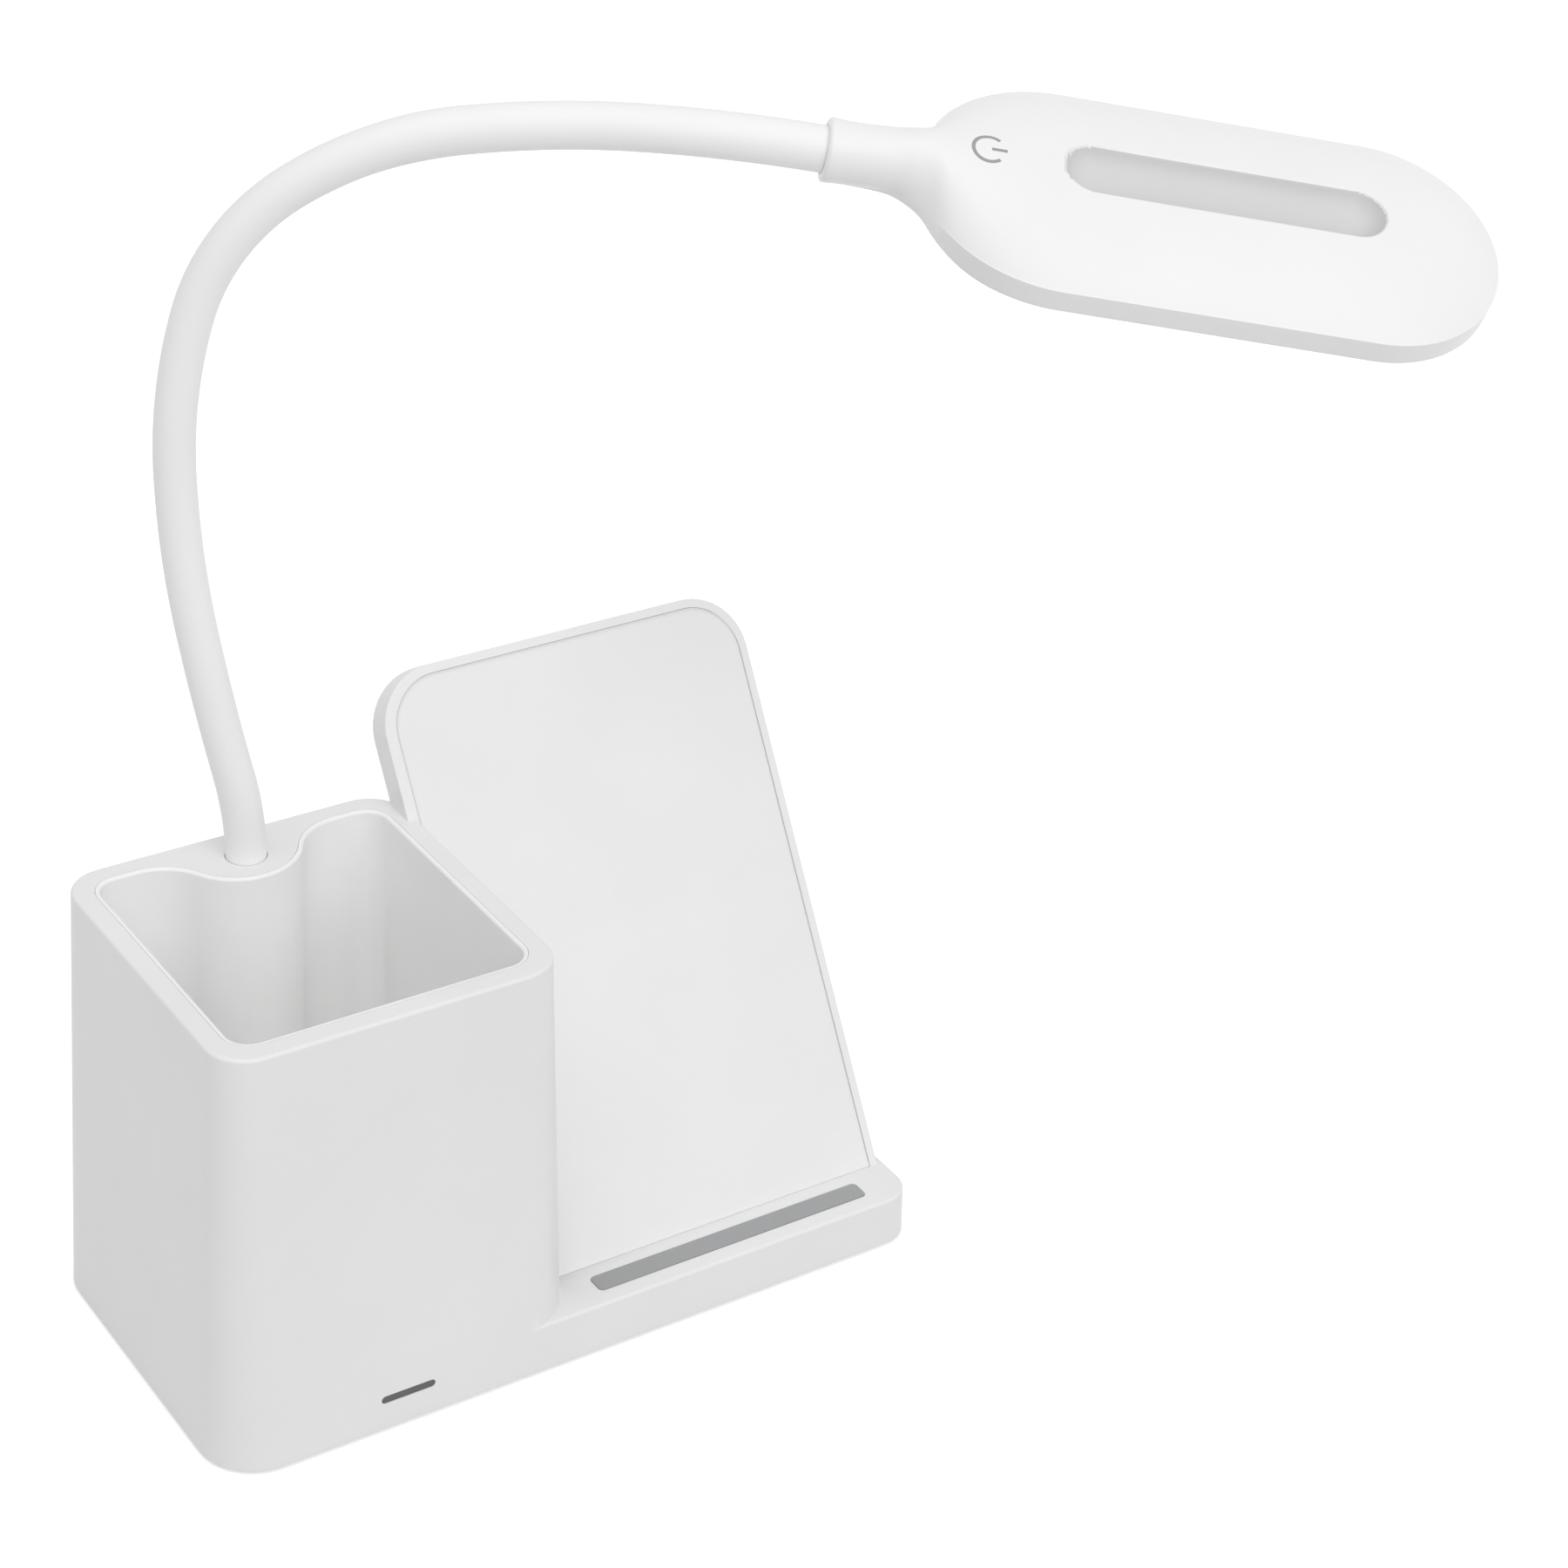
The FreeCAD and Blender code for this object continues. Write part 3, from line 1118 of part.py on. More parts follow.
def make_head_shell():
    outside = fuse("head_outside", [domed("outer_form", "0", BAND_LOW), collar_loft()])
    inside = domed("inner_form", "size.head_wall", BAND_LOW)
    hollowed = cut("head_hollowed", outside, inside)
    pan_low = "(" + CREST + " - size.trough_depth - size.head_wall)"
    pan = capsule("pan_form", "(" + TROUGH + " + size.head_wall)", "size.trough_start",
                  "size.trough_end", CREST + " - size.trough_depth + " + TROUGH)
    keep = add_box("pan_keep", "size.head_length", "size.trough_width + 2 * size.head_wall",
                   "size.trough_depth + size.head_wall / 2")
    place(keep, "0", "-size.trough_width / 2 - size.head_wall", pan_low)
    extras = [hollowed, common("trough_pan", pan, keep)]
    for number, (x, y) in enumerate(head_screw_places()):
        post = add_cylinder("head_post_%d" % number, "size.head_post", "-" + BASE_TOP)
        extras.append(place(post, x, y, BASE_TOP))
    for number, (end, way) in enumerate([(NEAR, -1), (NEAR, 1), (FAR, -1), (FAR, 1)]):
        post = add_cylinder("light_post_%d" % number, "size.head_post",
                            "%s - size.head_crown * (size.trough_width / %s)^2"
                            " - size.head_wall / 2 - %s" % (CREST, HALF, LIGHT_TOP))
        extras.append(place(post, end, "%d * size.trough_width" % way, LIGHT_TOP))
    solid = fuse("head_solid", extras)
    tools = [capsule("trough", TROUGH, "size.trough_start", "size.trough_end",
                     CREST + " - size.trough_depth + " + TROUGH),
             collar_rod("collar_mouth_bore", sleeve_radius(LAST) + " + size.collar_gap", "0",
                        "size.collar_mouth + size.bushing_gap"),
             collar_rod("collar_bore", "size.bushing_radius + size.bushing_fit", "0", NEAR + " / 2"),
             mark_pieces("mark_seat", "size.mark_fit")]
    for number, (x, y) in enumerate(head_screw_places()):
        hole = add_cylinder("head_post_hole_%d" % number, "size.head_screw_radius + size.screw_bite",
                            "size.head_band - size.head_base_thickness")
        tools.append(place(hole, x, y, BASE_TOP))
    shell = cut("head_shell", solid, fuse("head_tools", tools))
    head_node(shell, "head_shell")


def make_head_base():
    plate = stadium("head_base_plate", "(" + HALF + " - size.head_wall - size.head_seam)",
                    BAND_LOW, "size.head_base_thickness")
    tools = [stadium("head_base_window", WINDOW_HALF, BAND_LOW, "size.head_base_thickness")]
    for number, (x, y) in enumerate(head_screw_places()):
        hole = add_cylinder("head_base_hole_%d" % number, 
                            "size.head_screw_radius + size.screw_clearance",
                            "size.head_base_thickness")
        tools.append(place(hole, x, y, BAND_LOW))
        sink = add_cylinder("head_base_sink_%d" % number, 
                            "size.head_screw_head + size.screw_clearance",
                            "size.head_screw_height")
        tools.append(place(sink, x, y, BAND_LOW))
    head_node(cut("head_base", plate, fuse("head_base_tools", tools)), "head_base")


def make_head_screws():
    screws = []
    for number, (x, y) in enumerate(head_screw_places()):
        shank = add_cylinder("head_shank_%d" % number, "size.head_screw_radius",
                             "size.head_screw_length")
        cap = add_cylinder("head_cap_%d" % number, "size.head_screw_head",
                           "size.head_screw_height")
        pair = [place(shank, x, y, BAND_LOW + " + size.head_screw_height"),
                place(cap, x, y, BAND_LOW)]
        screws.append(fuse("head_screw_%d" % number, pair))
    group = document.addObject("Part::Compound", "head_screws")
    group.Links = screws
    head_node(group, "head_screws")


def make_light():
    plug = stadium("diffuser_plug", "(" + WINDOW_HALF + " - size.head_seam)", BAND_LOW,
                   "size.head_base_thickness")
    lip = stadium("diffuser_lip", "(" + WINDOW_HALF + " + size.diffuser_lip)", BASE_TOP,
                  "size.diffuser_thickness")
    tools = []
    for number, (x, y) in enumerate(head_screw_places()):
        tools.append(place(add_cylinder("lip_notch_%d" % number, "size.head_post + size.head_post_gap",
                                        "size.diffuser_thickness"), x, y, BASE_TOP))
    trimmed = cut("lip_trimmed", lip, fuse("lip_notches", tools))
    head_node(fuse("light_diffuser", [plug, trimmed]), "light_diffuser")
    board = stadium("light_board", "(" + WINDOW_HALF + " - size.light_board_inset)", LIGHT_LOW,
                    "size.light_board_thickness")
    head_node(board, "light_board")
    chips = []
    count = int(worth(SPAN) / size("chip_pitch")) + CHIPS_IN_ENDS
    for row in (-1, 1):
        for step in range(count):
            chip = add_box("chip_%d_%d" % (row + 1, step), "size.chip_size", "size.chip_size",
                           "size.chip_height")
            middle = "(%s + %s) / 2 + %g * size.chip_pitch" % (NEAR, FAR, step - (count - 1) / 2)
            chips.append(place(chip, middle + " - size.chip_size / 2",
                               "%d * size.chip_row_gap / 2 - size.chip_size / 2" % row,
                               LIGHT_LOW + " - size.chip_height"))
    group = document.addObject("Part::Compound", "light_chips")
    group.Links = chips
    head_node(group, "light_chips")


def make_touch_spring():
    """Coil spring between the light board and the inside of the shell under the mark."""
    reach = "(" + NEAR + " - size.mark_place + size.spring_radius + size.spring_wire)"
    ceiling = ("(" + CREST + " - size.head_crown * (" + reach + " / " + HALF + ")^2"
               " - size.head_wall)")
    rise = ("(" + ceiling + " - " + LIGHT_TOP + " - 2 * size.spring_wire"
            " - 2 * size.spring_gap)")
    helix = document.addObject("Part::Helix", "spring_line")
    bind(helix, Pitch="%s / %d" % (rise, SPRING_TURNS), Height=rise,
         Radius="size.spring_radius")
    wire = document.addObject("Part::Circle", "spring_section")
    bind(wire, Radius="size.spring_wire")
    wire.Placement = Placement(Vector(size("spring_radius"), 0, 0),
                               Rotation(Vector(1, 0, 0), 90))
    wire.setExpression(".Placement.Base.x", "size.spring_radius")
    spring = document.addObject("Part::Sweep", "touch_spring")
    spring.Sections = [wire]
    spring.Spine = (helix, ["Edge1"])
    spring.Solid = True
    spring.Frenet = True
    document.recompute()
    spring.Placement.Base = Vector(size("mark_place"), 0,
                                   worth(LIGHT_TOP + " + size.spring_wire + size.spring_gap"))
    head_node(spring, "touch_spring")


def make_bushing():
    bushing = ring("bushing", "size.bushing_radius", "size.hose_radius + size.swivel_fit",
                   "size.bushing_length")
    bushing.Placement = Placement(Vector(worth("size.collar_mouth + size.bushing_gap"), 0, 0),
                                  Rotation(Vector(0, 1, 0), 90))
    head_node(bushing, "head_bushing")


def make_mark():
    head_node(mark_pieces("power_mark", "0"), "power_mark")


# ---------------------------------------------------------------- build, check and export
for make in (make_housing, make_liner, make_bottom_cover, make_feet, make_screws, make_ballast,
             make_panel, make_rest_stack, make_inlet, make_window, make_strip, make_neck,
             make_lock_nut, make_end_nut, make_head_shell, make_head_base, make_head_screws,
             make_light, make_touch_spring, make_bushing, make_mark):
    make()
make_board("main_board", "size.main_length", "size.main_depth", MAIN_Y)
make_board("charger_board", "size.charger_length", "size.charger_depth", CHARGER_Y)
document.recompute()

for item in document.Objects:
    if "Invalid" in item.State or "Error" in item.State:
        raise RuntimeError("%s did not build" % item.Label)
for item in node_objects:
    if item.Shape.isNull() or not item.Shape.isValid():
        raise RuntimeError("%s has no sound shape" % item.Label)
os.makedirs("parts", exist_ok=True)
for item in node_objects:
    item.Shape.exportStep("parts/" + item.Label + ".step")
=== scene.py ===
"""Dressed scene of the pen pot lamp: pot and leaning rest, gooseneck and flat light head."""
import bpy
import bmesh
import json
import math
from mathutils import Matrix, Vector


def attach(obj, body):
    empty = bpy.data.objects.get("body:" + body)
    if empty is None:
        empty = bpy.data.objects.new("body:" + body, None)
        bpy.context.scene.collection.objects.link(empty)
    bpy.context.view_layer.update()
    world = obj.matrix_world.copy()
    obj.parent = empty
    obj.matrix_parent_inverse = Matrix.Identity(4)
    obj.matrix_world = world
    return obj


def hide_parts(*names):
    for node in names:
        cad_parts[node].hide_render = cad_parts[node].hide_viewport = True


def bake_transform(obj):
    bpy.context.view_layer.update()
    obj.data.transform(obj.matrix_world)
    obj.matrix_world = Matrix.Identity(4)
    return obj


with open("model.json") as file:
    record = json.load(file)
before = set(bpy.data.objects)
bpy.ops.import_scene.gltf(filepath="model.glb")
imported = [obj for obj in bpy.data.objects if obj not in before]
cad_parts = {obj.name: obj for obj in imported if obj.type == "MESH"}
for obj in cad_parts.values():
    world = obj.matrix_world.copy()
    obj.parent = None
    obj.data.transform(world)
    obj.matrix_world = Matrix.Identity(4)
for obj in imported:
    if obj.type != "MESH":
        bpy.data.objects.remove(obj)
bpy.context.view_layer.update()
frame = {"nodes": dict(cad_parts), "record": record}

MM = 0.001


# ---------------------------------------------------------------- materials
# How many patches of colour a metre holds, and how far gloss strays to each side.
PATCHES = 38.0
GLOSS_SPREAD = 0.04
COAT_ROUGHNESS = 0.2
GRAIN_HEIGHT = 0.2 * MM
# How far light goes under a surface that lets it in, for red, green and blue.
LIGHT_DEPTH = (4.0 * MM, 4.0 * MM, 3.5 * MM)


def noise(tree, place, scale, detail):
    """Noise fixed to the object, as an output socket."""
    made = tree.nodes.new("ShaderNodeTexNoise")
    made.inputs["Scale"].default_value = scale
    made.inputs["Detail"].default_value = detail
    tree.links.new(place.outputs["Object"], made.inputs["Vector"])
    return made.outputs["Fac"]


def plastic(name, colour, rough=0.45, grain=0.03, grain_size=2200.0, mottle=0.012,
            coat=0.0, metal=0.0, milky=0.0):
    """Moulded surface: faint mottling of the colour, uneven gloss and a fine grain."""
    made = bpy.data.materials.new(name)
    made.use_nodes = True
    tree = made.node_tree
    shader = tree.nodes["Principled BSDF"]
    shader.inputs["Metallic"].default_value = metal
    shader.inputs["Coat Weight"].default_value = coat
    shader.inputs["Coat Roughness"].default_value = COAT_ROUGHNESS
    shader.inputs["Subsurface Weight"].default_value = milky
    shader.inputs["Subsurface Radius"].default_value = LIGHT_DEPTH
    shader.inputs["Subsurface Scale"].default_value = 0.5
    place = tree.nodes.new("ShaderNodeTexCoord")
    broad = noise(tree, place, PATCHES, 3.0)
    fine = noise(tree, place, grain_size, 2.0)
    tint = tree.nodes.new("ShaderNodeValToRGB")
    low = [max(0.0, part * (1 - mottle)) for part in colour]
    high = [min(1.0, part * (1 + mottle)) for part in colour]
    tint.color_ramp.elements[0].position = 0.3
    tint.color_ramp.elements[0].color = (*low, 1)
    tint.color_ramp.elements[1].position = 0.7
    tint.color_ramp.elements[1].color = (*high, 1)
    tree.links.new(broad, tint.inputs["Fac"])
    tree.links.new(tint.outputs["Color"], shader.inputs["Base Color"])
    gloss = tree.nodes.new("ShaderNodeMapRange")
    gloss.inputs["To Min"].default_value = rough - GLOSS_SPREAD
    gloss.inputs["To Max"].default_value = rough + GLOSS_SPREAD
    tree.links.new(fine, gloss.inputs["Value"])
    tree.links.new(gloss.outputs["Result"], shader.inputs["Roughness"])
    bump = tree.nodes.new("ShaderNodeBump")
    bump.inputs["Strength"].default_value = grain
    bump.inputs["Distance"].default_value = GRAIN_HEIGHT
    tree.links.new(fine, bump.inputs["Height"])
    tree.links.new(bump.outputs["Normal"], shader.inputs["Normal"])
    return made


FINISHES = {
    "housing_white": plastic("housing_white", (0.85, 0.85, 0.848), 0.42, 0.10),
    # The liner is lighter than the housing: painted light for the inside of the deep pot.
    "liner_white": plastic("liner_white", (0.93, 0.93, 0.928), 0.5, 0.06),
    "cover_white": plastic("cover_white", (0.80, 0.80, 0.798), 0.5, 0.12),
    "panel_white": plastic("panel_white", (0.85, 0.85, 0.852), 0.55, 0.08),
    "head_white": plastic("head_white", (0.92, 0.92, 0.918), 0.38, 0.05),
    # Greyer finish for the trough in the head's top: painted shade in the recess.
    "trough_painted_shade": plastic("trough_painted_shade", (0.67, 0.67, 0.672), 0.45, 0.05),
    "sleeve_white": plastic("sleeve_white", (0.94, 0.94, 0.938), 0.5, 0.05),
    # Grey for the strip in the panel's joint: painted shadow in the gap.
    "seam_painted_shadow": plastic("seam_painted_shadow", (0.75, 0.75, 0.75), 0.6, 0.02),
    "grip_grey": plastic("grip_grey", (0.36, 0.365, 0.37), 0.55, 0.2, 1400.0),
    "window_grey": plastic("window_grey", (0.07, 0.07, 0.074), 0.25, 0.02, coat=0.3),
    "mark_grey": plastic("mark_grey", (0.36, 0.36, 0.365), 0.5, 0.03),
    "diffuser_white": plastic("diffuser_white", (0.88, 0.88, 0.87), 0.6, 0.15, 1200.0,
                              milky=0.3),
    "foot_rubber": plastic("foot_rubber", (0.035, 0.035, 0.037), 0.75, 0.3, 1500.0),
    "bushing_black": plastic("bushing_black", (0.01, 0.01, 0.01), 0.4, 0.05),
    "circuit_board": plastic("circuit_board", (0.01, 0.09, 0.03), 0.35, 0.1, 900.0, coat=0.4),
    "light_board_white": plastic("light_board_white", (0.8, 0.8, 0.8), 0.4, 0.05),
    "chip_yellow": plastic("chip_yellow", (0.85, 0.66, 0.12), 0.4, 0.05),
    "foam": plastic("foam", (0.03, 0.03, 0.03), 0.9, 0.5, 900.0),
    "ferrite": plastic("ferrite", (0.02, 0.02, 0.022), 0.7, 0.3, 1200.0),
    "copper": plastic("copper", (0.62, 0.24, 0.11), 0.35, 0.3, 900.0, metal=1.0),
    "screw_steel": plastic("screw_steel", (0.52, 0.52, 0.53), 0.32, 0.1, 1800.0, metal=1.0),
    "hose_steel": plastic("hose_steel", (0.5, 0.5, 0.51), 0.36, 0.2, 1300.0, metal=1.0),
    "ballast_iron": plastic("ballast_iron", (0.09, 0.09, 0.095), 0.6, 0.5, 700.0, metal=0.8),
    "brass_nut": plastic("brass_nut", (0.62, 0.42, 0.14), 0.32, 0.1, 1500.0, metal=1.0),
}
SLOT_OF = {part["node"]: part["material_slot"] for part in frame["record"]["subparts"]}

for name, item in frame["nodes"].items():
    item.data.materials.clear()
    item.data.materials.append(FINISHES[SLOT_OF[name]])


def soften(item, angle=32):
    """Round shading on a CAD solid, broken where its faces meet at more than the angle."""
    for face in item.data.polygons:
        face.use_smooth = True
    weld = item.modifiers.new("weld", "WELD")
    weld.merge_threshold = 0.002 * MM
    split = item.modifiers.new("split", "EDGE_SPLIT")
    split.split_angle = math.radians(angle)
    flats = item.modifiers.new("flats", "WEIGHTED_NORMAL")
    flats.mode = "FACE_AREA"


for item in frame["nodes"].values():
    soften(item)


def as_piece(name, mesh_maker, finish, sharp=None):
    """New object from a bmesh, with normals outwards and shading broken at sharp edges."""
    bmesh.ops.recalc_face_normals(mesh_maker, faces=mesh_maker.faces)
    for face in mesh_maker.faces:
        face.smooth = True
    if sharp:
        for edge in mesh_maker.edges:
            if len(edge.link_faces) == 2 and edge.calc_face_angle() > math.radians(sharp):
                edge.smooth = False
    mesh = bpy.data.meshes.new(name)
    mesh_maker.to_mesh(mesh)
    mesh_maker.free()
    piece = bpy.data.objects.new(name, mesh)
    bpy.context.scene.collection.objects.link(piece)
    mesh.materials.append(FINISHES[finish])
    return piece


# ---------------------------------------------------------------- gooseneck
NECK_TURN = math.radians(-29.4)
NECK_LEANS = [math.radians(lean) for lean in
              (0.0, -12.78, -9.55, -1.24, 15.53, 56.14, 82.63, 92.58, 98.23)]
BENDS = 7
STUB, LINK = 20.0, 34.38
# How far the sleeve goes into the boss and into the head's collar.
IN_BOSS, IN_COLLAR = 4.0, 5.0
# How thick the sleeve is, as pairs of the distance along it and its radius.
SLEEVE_FORM = [(-4, 4.36), (12, 4.36), (26, 4.27), (110, 4.24), (150, 4.32), (168, 4.41),
               (188, 4.64), (200, 4.62), (215, 4.59), (275, 4.59)]
NECK_ROOT = Vector((-43.9, 29.35, 101.0)) * MM
AWAY = Vector((math.cos(NECK_TURN), math.sin(NECK_TURN), 0))
BEND_AXIS = Vector((-math.sin(NECK_TURN), math.cos(NECK_TURN), 0))
UP = Vector((0, 0, 1))


def ease(value, low, high):
    """Smooth rise from 0 at low to 1 at high."""
    share = min(1.0, max(0.0, (value - low) / (high - low)))
    return share * share * (3 - 2 * share)


def inward(lean):
    """Direction towards the inside of the neck's curve where it has this lean."""
    return AWAY * math.cos(lean) - UP * math.sin(lean)


def tangent(lean):
    """Direction of the neck where it has this lean."""
    return AWAY * math.sin(lean) + UP * math.cos(lean)


def neck_arcs():
    """Start, centre of curvature, start lean, turn, run so far and length of each stretch."""
    arcs, point, run = [], NECK_ROOT.copy(), 0.0
    for number, (lean, after) in enumerate(zip(NECK_LEANS, NECK_LEANS[1:])):
        length = STUB if number == 0 else LINK
        radius = length * MM / (after - lean)
        centre = point + inward(lean) * radius
        arcs.append((point, centre, lean, after - lean, run, length))
        point = centre - inward(after) * radius
        run += length
    return arcs, point, run


ARCS, COLLAR_POINT, NECK_LONG = neck_arcs()


def along_neck(run):
    """Point and lean of the neck's centre line at a distance along it."""
    if run <= 0:
        return NECK_ROOT + UP * run * MM, NECK_LEANS[0]
    if run >= NECK_LONG:
        return COLLAR_POINT + tangent(NECK_LEANS[-1]) * (run - NECK_LONG) * MM, NECK_LEANS[-1]
    point, centre, lean, turn, start, length = [arc for arc in ARCS if arc[4] < run][-1]
    now = lean + turn * (run - start) / length
    return centre - inward(now) * (length * MM / turn), now


def sleeve_radius(run):
    """Radius of the sleeve at a distance along it, in millimetres."""
    for (low, thin), (high, thick) in zip(SLEEVE_FORM, SLEEVE_FORM[1:]):
        if run <= high:
            return thin + (thick - thin) * ease(run, low, high)
    return SLEEVE_FORM[-1][1]


def sleeve_skin(name, low, high):
    """Closed tube of the sleeve between two distances along the neck."""
    steps, around = 60, 56
    maker = bmesh.new()
    bmesh.ops.create_grid(maker, x_segments=steps, y_segments=around, size=1)
    for vert in maker.verts:
        run = low + (high - low) * (vert.co.x + 1) / 2
        angle = math.pi * (vert.co.y + 1)
        point, lean = along_neck(run)
        outward = inward(lean) * math.cos(angle) + BEND_AXIS * math.sin(angle)
        vert.co = point + outward * sleeve_radius(run) * MM
    bmesh.ops.remove_doubles(maker, verts=maker.verts, dist=0.001 * MM)
    rim = [edge for edge in maker.edges if edge.is_boundary]
    bmesh.ops.holes_fill(maker, edges=rim, sides=0)
    return as_piece(name, maker, "sleeve_white", sharp=50)


def make_sleeve(number):
    """Sleeve skin round one bend, from half way before it to half way after it."""
    bend = STUB + LINK * (number - 1)
    low = -IN_BOSS if number == 1 else bend - LINK / 2
    piece = sleeve_skin("neck_skin_%d" % number, low, bend + LINK / 2)
    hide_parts("neck_sleeve_%d" % (number - 1))
    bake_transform(piece)


def make_sleeve_end():
    """Last half stretch of the sleeve, which runs into the head's collar."""
    piece = sleeve_skin("neck_skin_%d" % (BENDS + 1), NECK_LONG - LINK / 2,
                        NECK_LONG + IN_COLLAR)
    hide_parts("neck_sleeve_%d" % BENDS)
    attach(piece, "link_%d" % BENDS)


for number in range(1, BENDS + 1):
    make_sleeve(number)
make_sleeve_end()

# ---------------------------------------------------------------- head
HEAD_LONG, HEAD_HALF = 136.0, 26.4
SHOULDER, FAR_END = 47.2, 109.6
BAND_TOP, BAND_LOW = -0.75, -6.65
CROWN = 7.6
# The crest is this much higher at the collar, and falls to the crown between two places.
CREST_RISE, CREST_FROM, CREST_TO = 0.4, 35.0, 67.0
# The larger, the later the dome drops to the band at its edge.
EDGE_POWER = 60
DOME = (HEAD_HALF ** 2 + CROWN ** 2) / (2 * CROWN)
COLLAR = 6.25
COLLAR_WAIST, WAIST_FULL = 6.05, 4.0
COLLAR_LIP = 0.9
COLLAR_BORE, BORE_DEEP = 4.72, 4.5
FILLET = 8.5
# The near end is this much longer than a half circle.
STRETCH = 1.085
FILLET_U = SHOULDER - STRETCH * math.sqrt((HEAD_HALF + FILLET) ** 2
                                          - (COLLAR_WAIST + FILLET) ** 2)
FILLET_END = SHOULDER - (SHOULDER - FILLET_U) * HEAD_HALF / (HEAD_HALF + FILLET)
# Where the round collar begins to turn into the flat head, and where it has done so.
FLAT_FROM, FLAT_FULL = 4.5, 25.0
# The same for its underside, which stays round for longer.
UNDER_FROM, UNDER_FULL = 9.5, 33.0
# How square the underside's section is in the end, where 0 would leave it round.
UNDER_SQUARE = 8
# Points round the underside, between the two creases.
UNDER_POINTS = 44
# Where the crease above the band lies on the round collar, as an angle below its side.
CREASE_ANGLE = math.radians(56)
TROUGH_HALF, TROUGH_NEAR, TROUGH_FAR, TROUGH_DEPTH = 6.05, 51.9, 104.3, 4.2
BITE = TROUGH_DEPTH - CROWN * (TROUGH_HALF / HEAD_HALF) ** 2
TROUGH_ROUND = (TROUGH_HALF ** 2 + BITE ** 2) / (2 * BITE)
RIM_SOFT = 0.3
# Seat of the bottom cover in the underside.
SEAT_HALF, SEAT_DEEP = 24.9, 1.6
SEAT_SPARE = 2.0
HEAD_ROLL = math.radians(24.75)


def head_frame():
    """Matrix from the head's own millimetres (along, across, up) to the scene."""
    along = tangent(NECK_LEANS[8])
    over = along.cross(BEND_AXIS)
    side = BEND_AXIS * math.cos(HEAD_ROLL) + over * math.sin(HEAD_ROLL)
    top = over * math.cos(HEAD_ROLL) - BEND_AXIS * math.sin(HEAD_ROLL)
    turn = Matrix((along, side, top)).transposed().to_4x4()
    return Matrix.Translation(COLLAR_POINT) @ turn @ Matrix.Scale(MM, 4)


HEAD = head_frame()


def half_width(u):
    """Half the head's width at a distance from the collar's mouth."""
    if u < COLLAR_LIP:
        return COLLAR - COLLAR_LIP + math.sqrt(COLLAR_LIP ** 2 - (COLLAR_LIP - u) ** 2)
    if u <= FILLET_U:
        return COLLAR - (COLLAR - COLLAR_WAIST) * ease(u, COLLAR_LIP, WAIST_FULL)
    if u <= FILLET_END:
        past = (u - FILLET_U) / STRETCH
        return COLLAR_WAIST + FILLET - math.sqrt(FILLET ** 2 - past ** 2)
    if u < SHOULDER:
        return math.sqrt(HEAD_HALF ** 2 - ((SHOULDER - u) / STRETCH) ** 2)
    if u <= FAR_END:
        return HEAD_HALF
    return math.sqrt(max(0.0, HEAD_HALF ** 2 - (u - FAR_END) ** 2))


def dome(share):
    """Height of the domed top, 1 on the middle line and 0 at the edge."""
    share = min(1.0, abs(share))
    arc = (math.sqrt(DOME ** 2 - (HEAD_HALF * share) ** 2) - (DOME - CROWN)) / CROWN
    return arc * math.sqrt(max(0.0, 1 - share ** EDGE_POWER))


def top_of(u, v):
    """Height of the head's top face, whose crest runs down a little from the collar."""
    crest = CROWN + CREST_RISE * (1 - ease(u, CREST_FROM, CREST_TO))
    if u < SHOULDER:
        return BAND_TOP + crest * dome(v / half_width(u))
    away = math.hypot(max(0.0, u - FAR_END), v)
    return BAND_TOP + crest * dome(away / HEAD_HALF)


def scooped(u, v):
    """Height of the top face with the trough, its edge softened."""
    height = top_of(u, v)
    past = max(TROUGH_NEAR - u, 0.0, u - TROUGH_FAR)
    away = math.hypot(past, v)
    if away >= TROUGH_ROUND - RIM_SOFT:
        return height
    floor = CROWN + BAND_TOP - TROUGH_DEPTH + TROUGH_ROUND
    scoop = floor - math.sqrt(TROUGH_ROUND ** 2 - away ** 2)
    mix = min(1.0, max(0.0, 0.5 + 0.5 * (scoop - height) / RIM_SOFT))
    return scoop + (height - scoop) * mix - RIM_SOFT * mix * (1 - mix)


def upper_section(u, shares):
    """Points (v, w) over the top, from crease to crease; round at the collar, then flat."""
    reach, flat = half_width(u), ease(u, FLAT_FROM, FLAT_FULL)
    points = []
    for share in shares:
        angle = math.pi / 2 - share * (math.pi / 2 + CREASE_ANGLE)
        v = reach * (math.cos(angle) * (1 - flat) + share * flat)
        w = reach * math.sin(angle) * (1 - flat) + scooped(u, share * reach) * flat
        points.append((v, w))
    return points


def section(u, shares):
    """Points (v, w) round the head at a distance from the mouth, as wide as the plan asks."""
    points = upper_section(u, shares)
    v_crease, w_crease = points[0]
    share = ease(u, UNDER_FROM, UNDER_FULL)
    power = 1 / (1 + UNDER_SQUARE * share ** 2)
    collar_low = -half_width(min(u, FILLET_U))
    low = collar_low + (BAND_LOW - collar_low) * share
    for step in range(1, UNDER_POINTS + 1):
        angle = math.pi * (1 + step / (UNDER_POINTS + 1))
        across, down = math.cos(angle), math.sin(angle)
        v = v_crease * math.copysign(abs(across) ** power, across)
        points.append((v, w_crease + (low - w_crease) * abs(down) ** power))
    widest = max(v for v, w in points)
    wider = half_width(u) / widest if widest > 0 else 1
    return [(v * wider, w) for v, w in points]


def steps_between(low, high, count):
    """Even steps from low up to, but without, high."""
    return [low + (high - low) * step / count for step in range(count)]


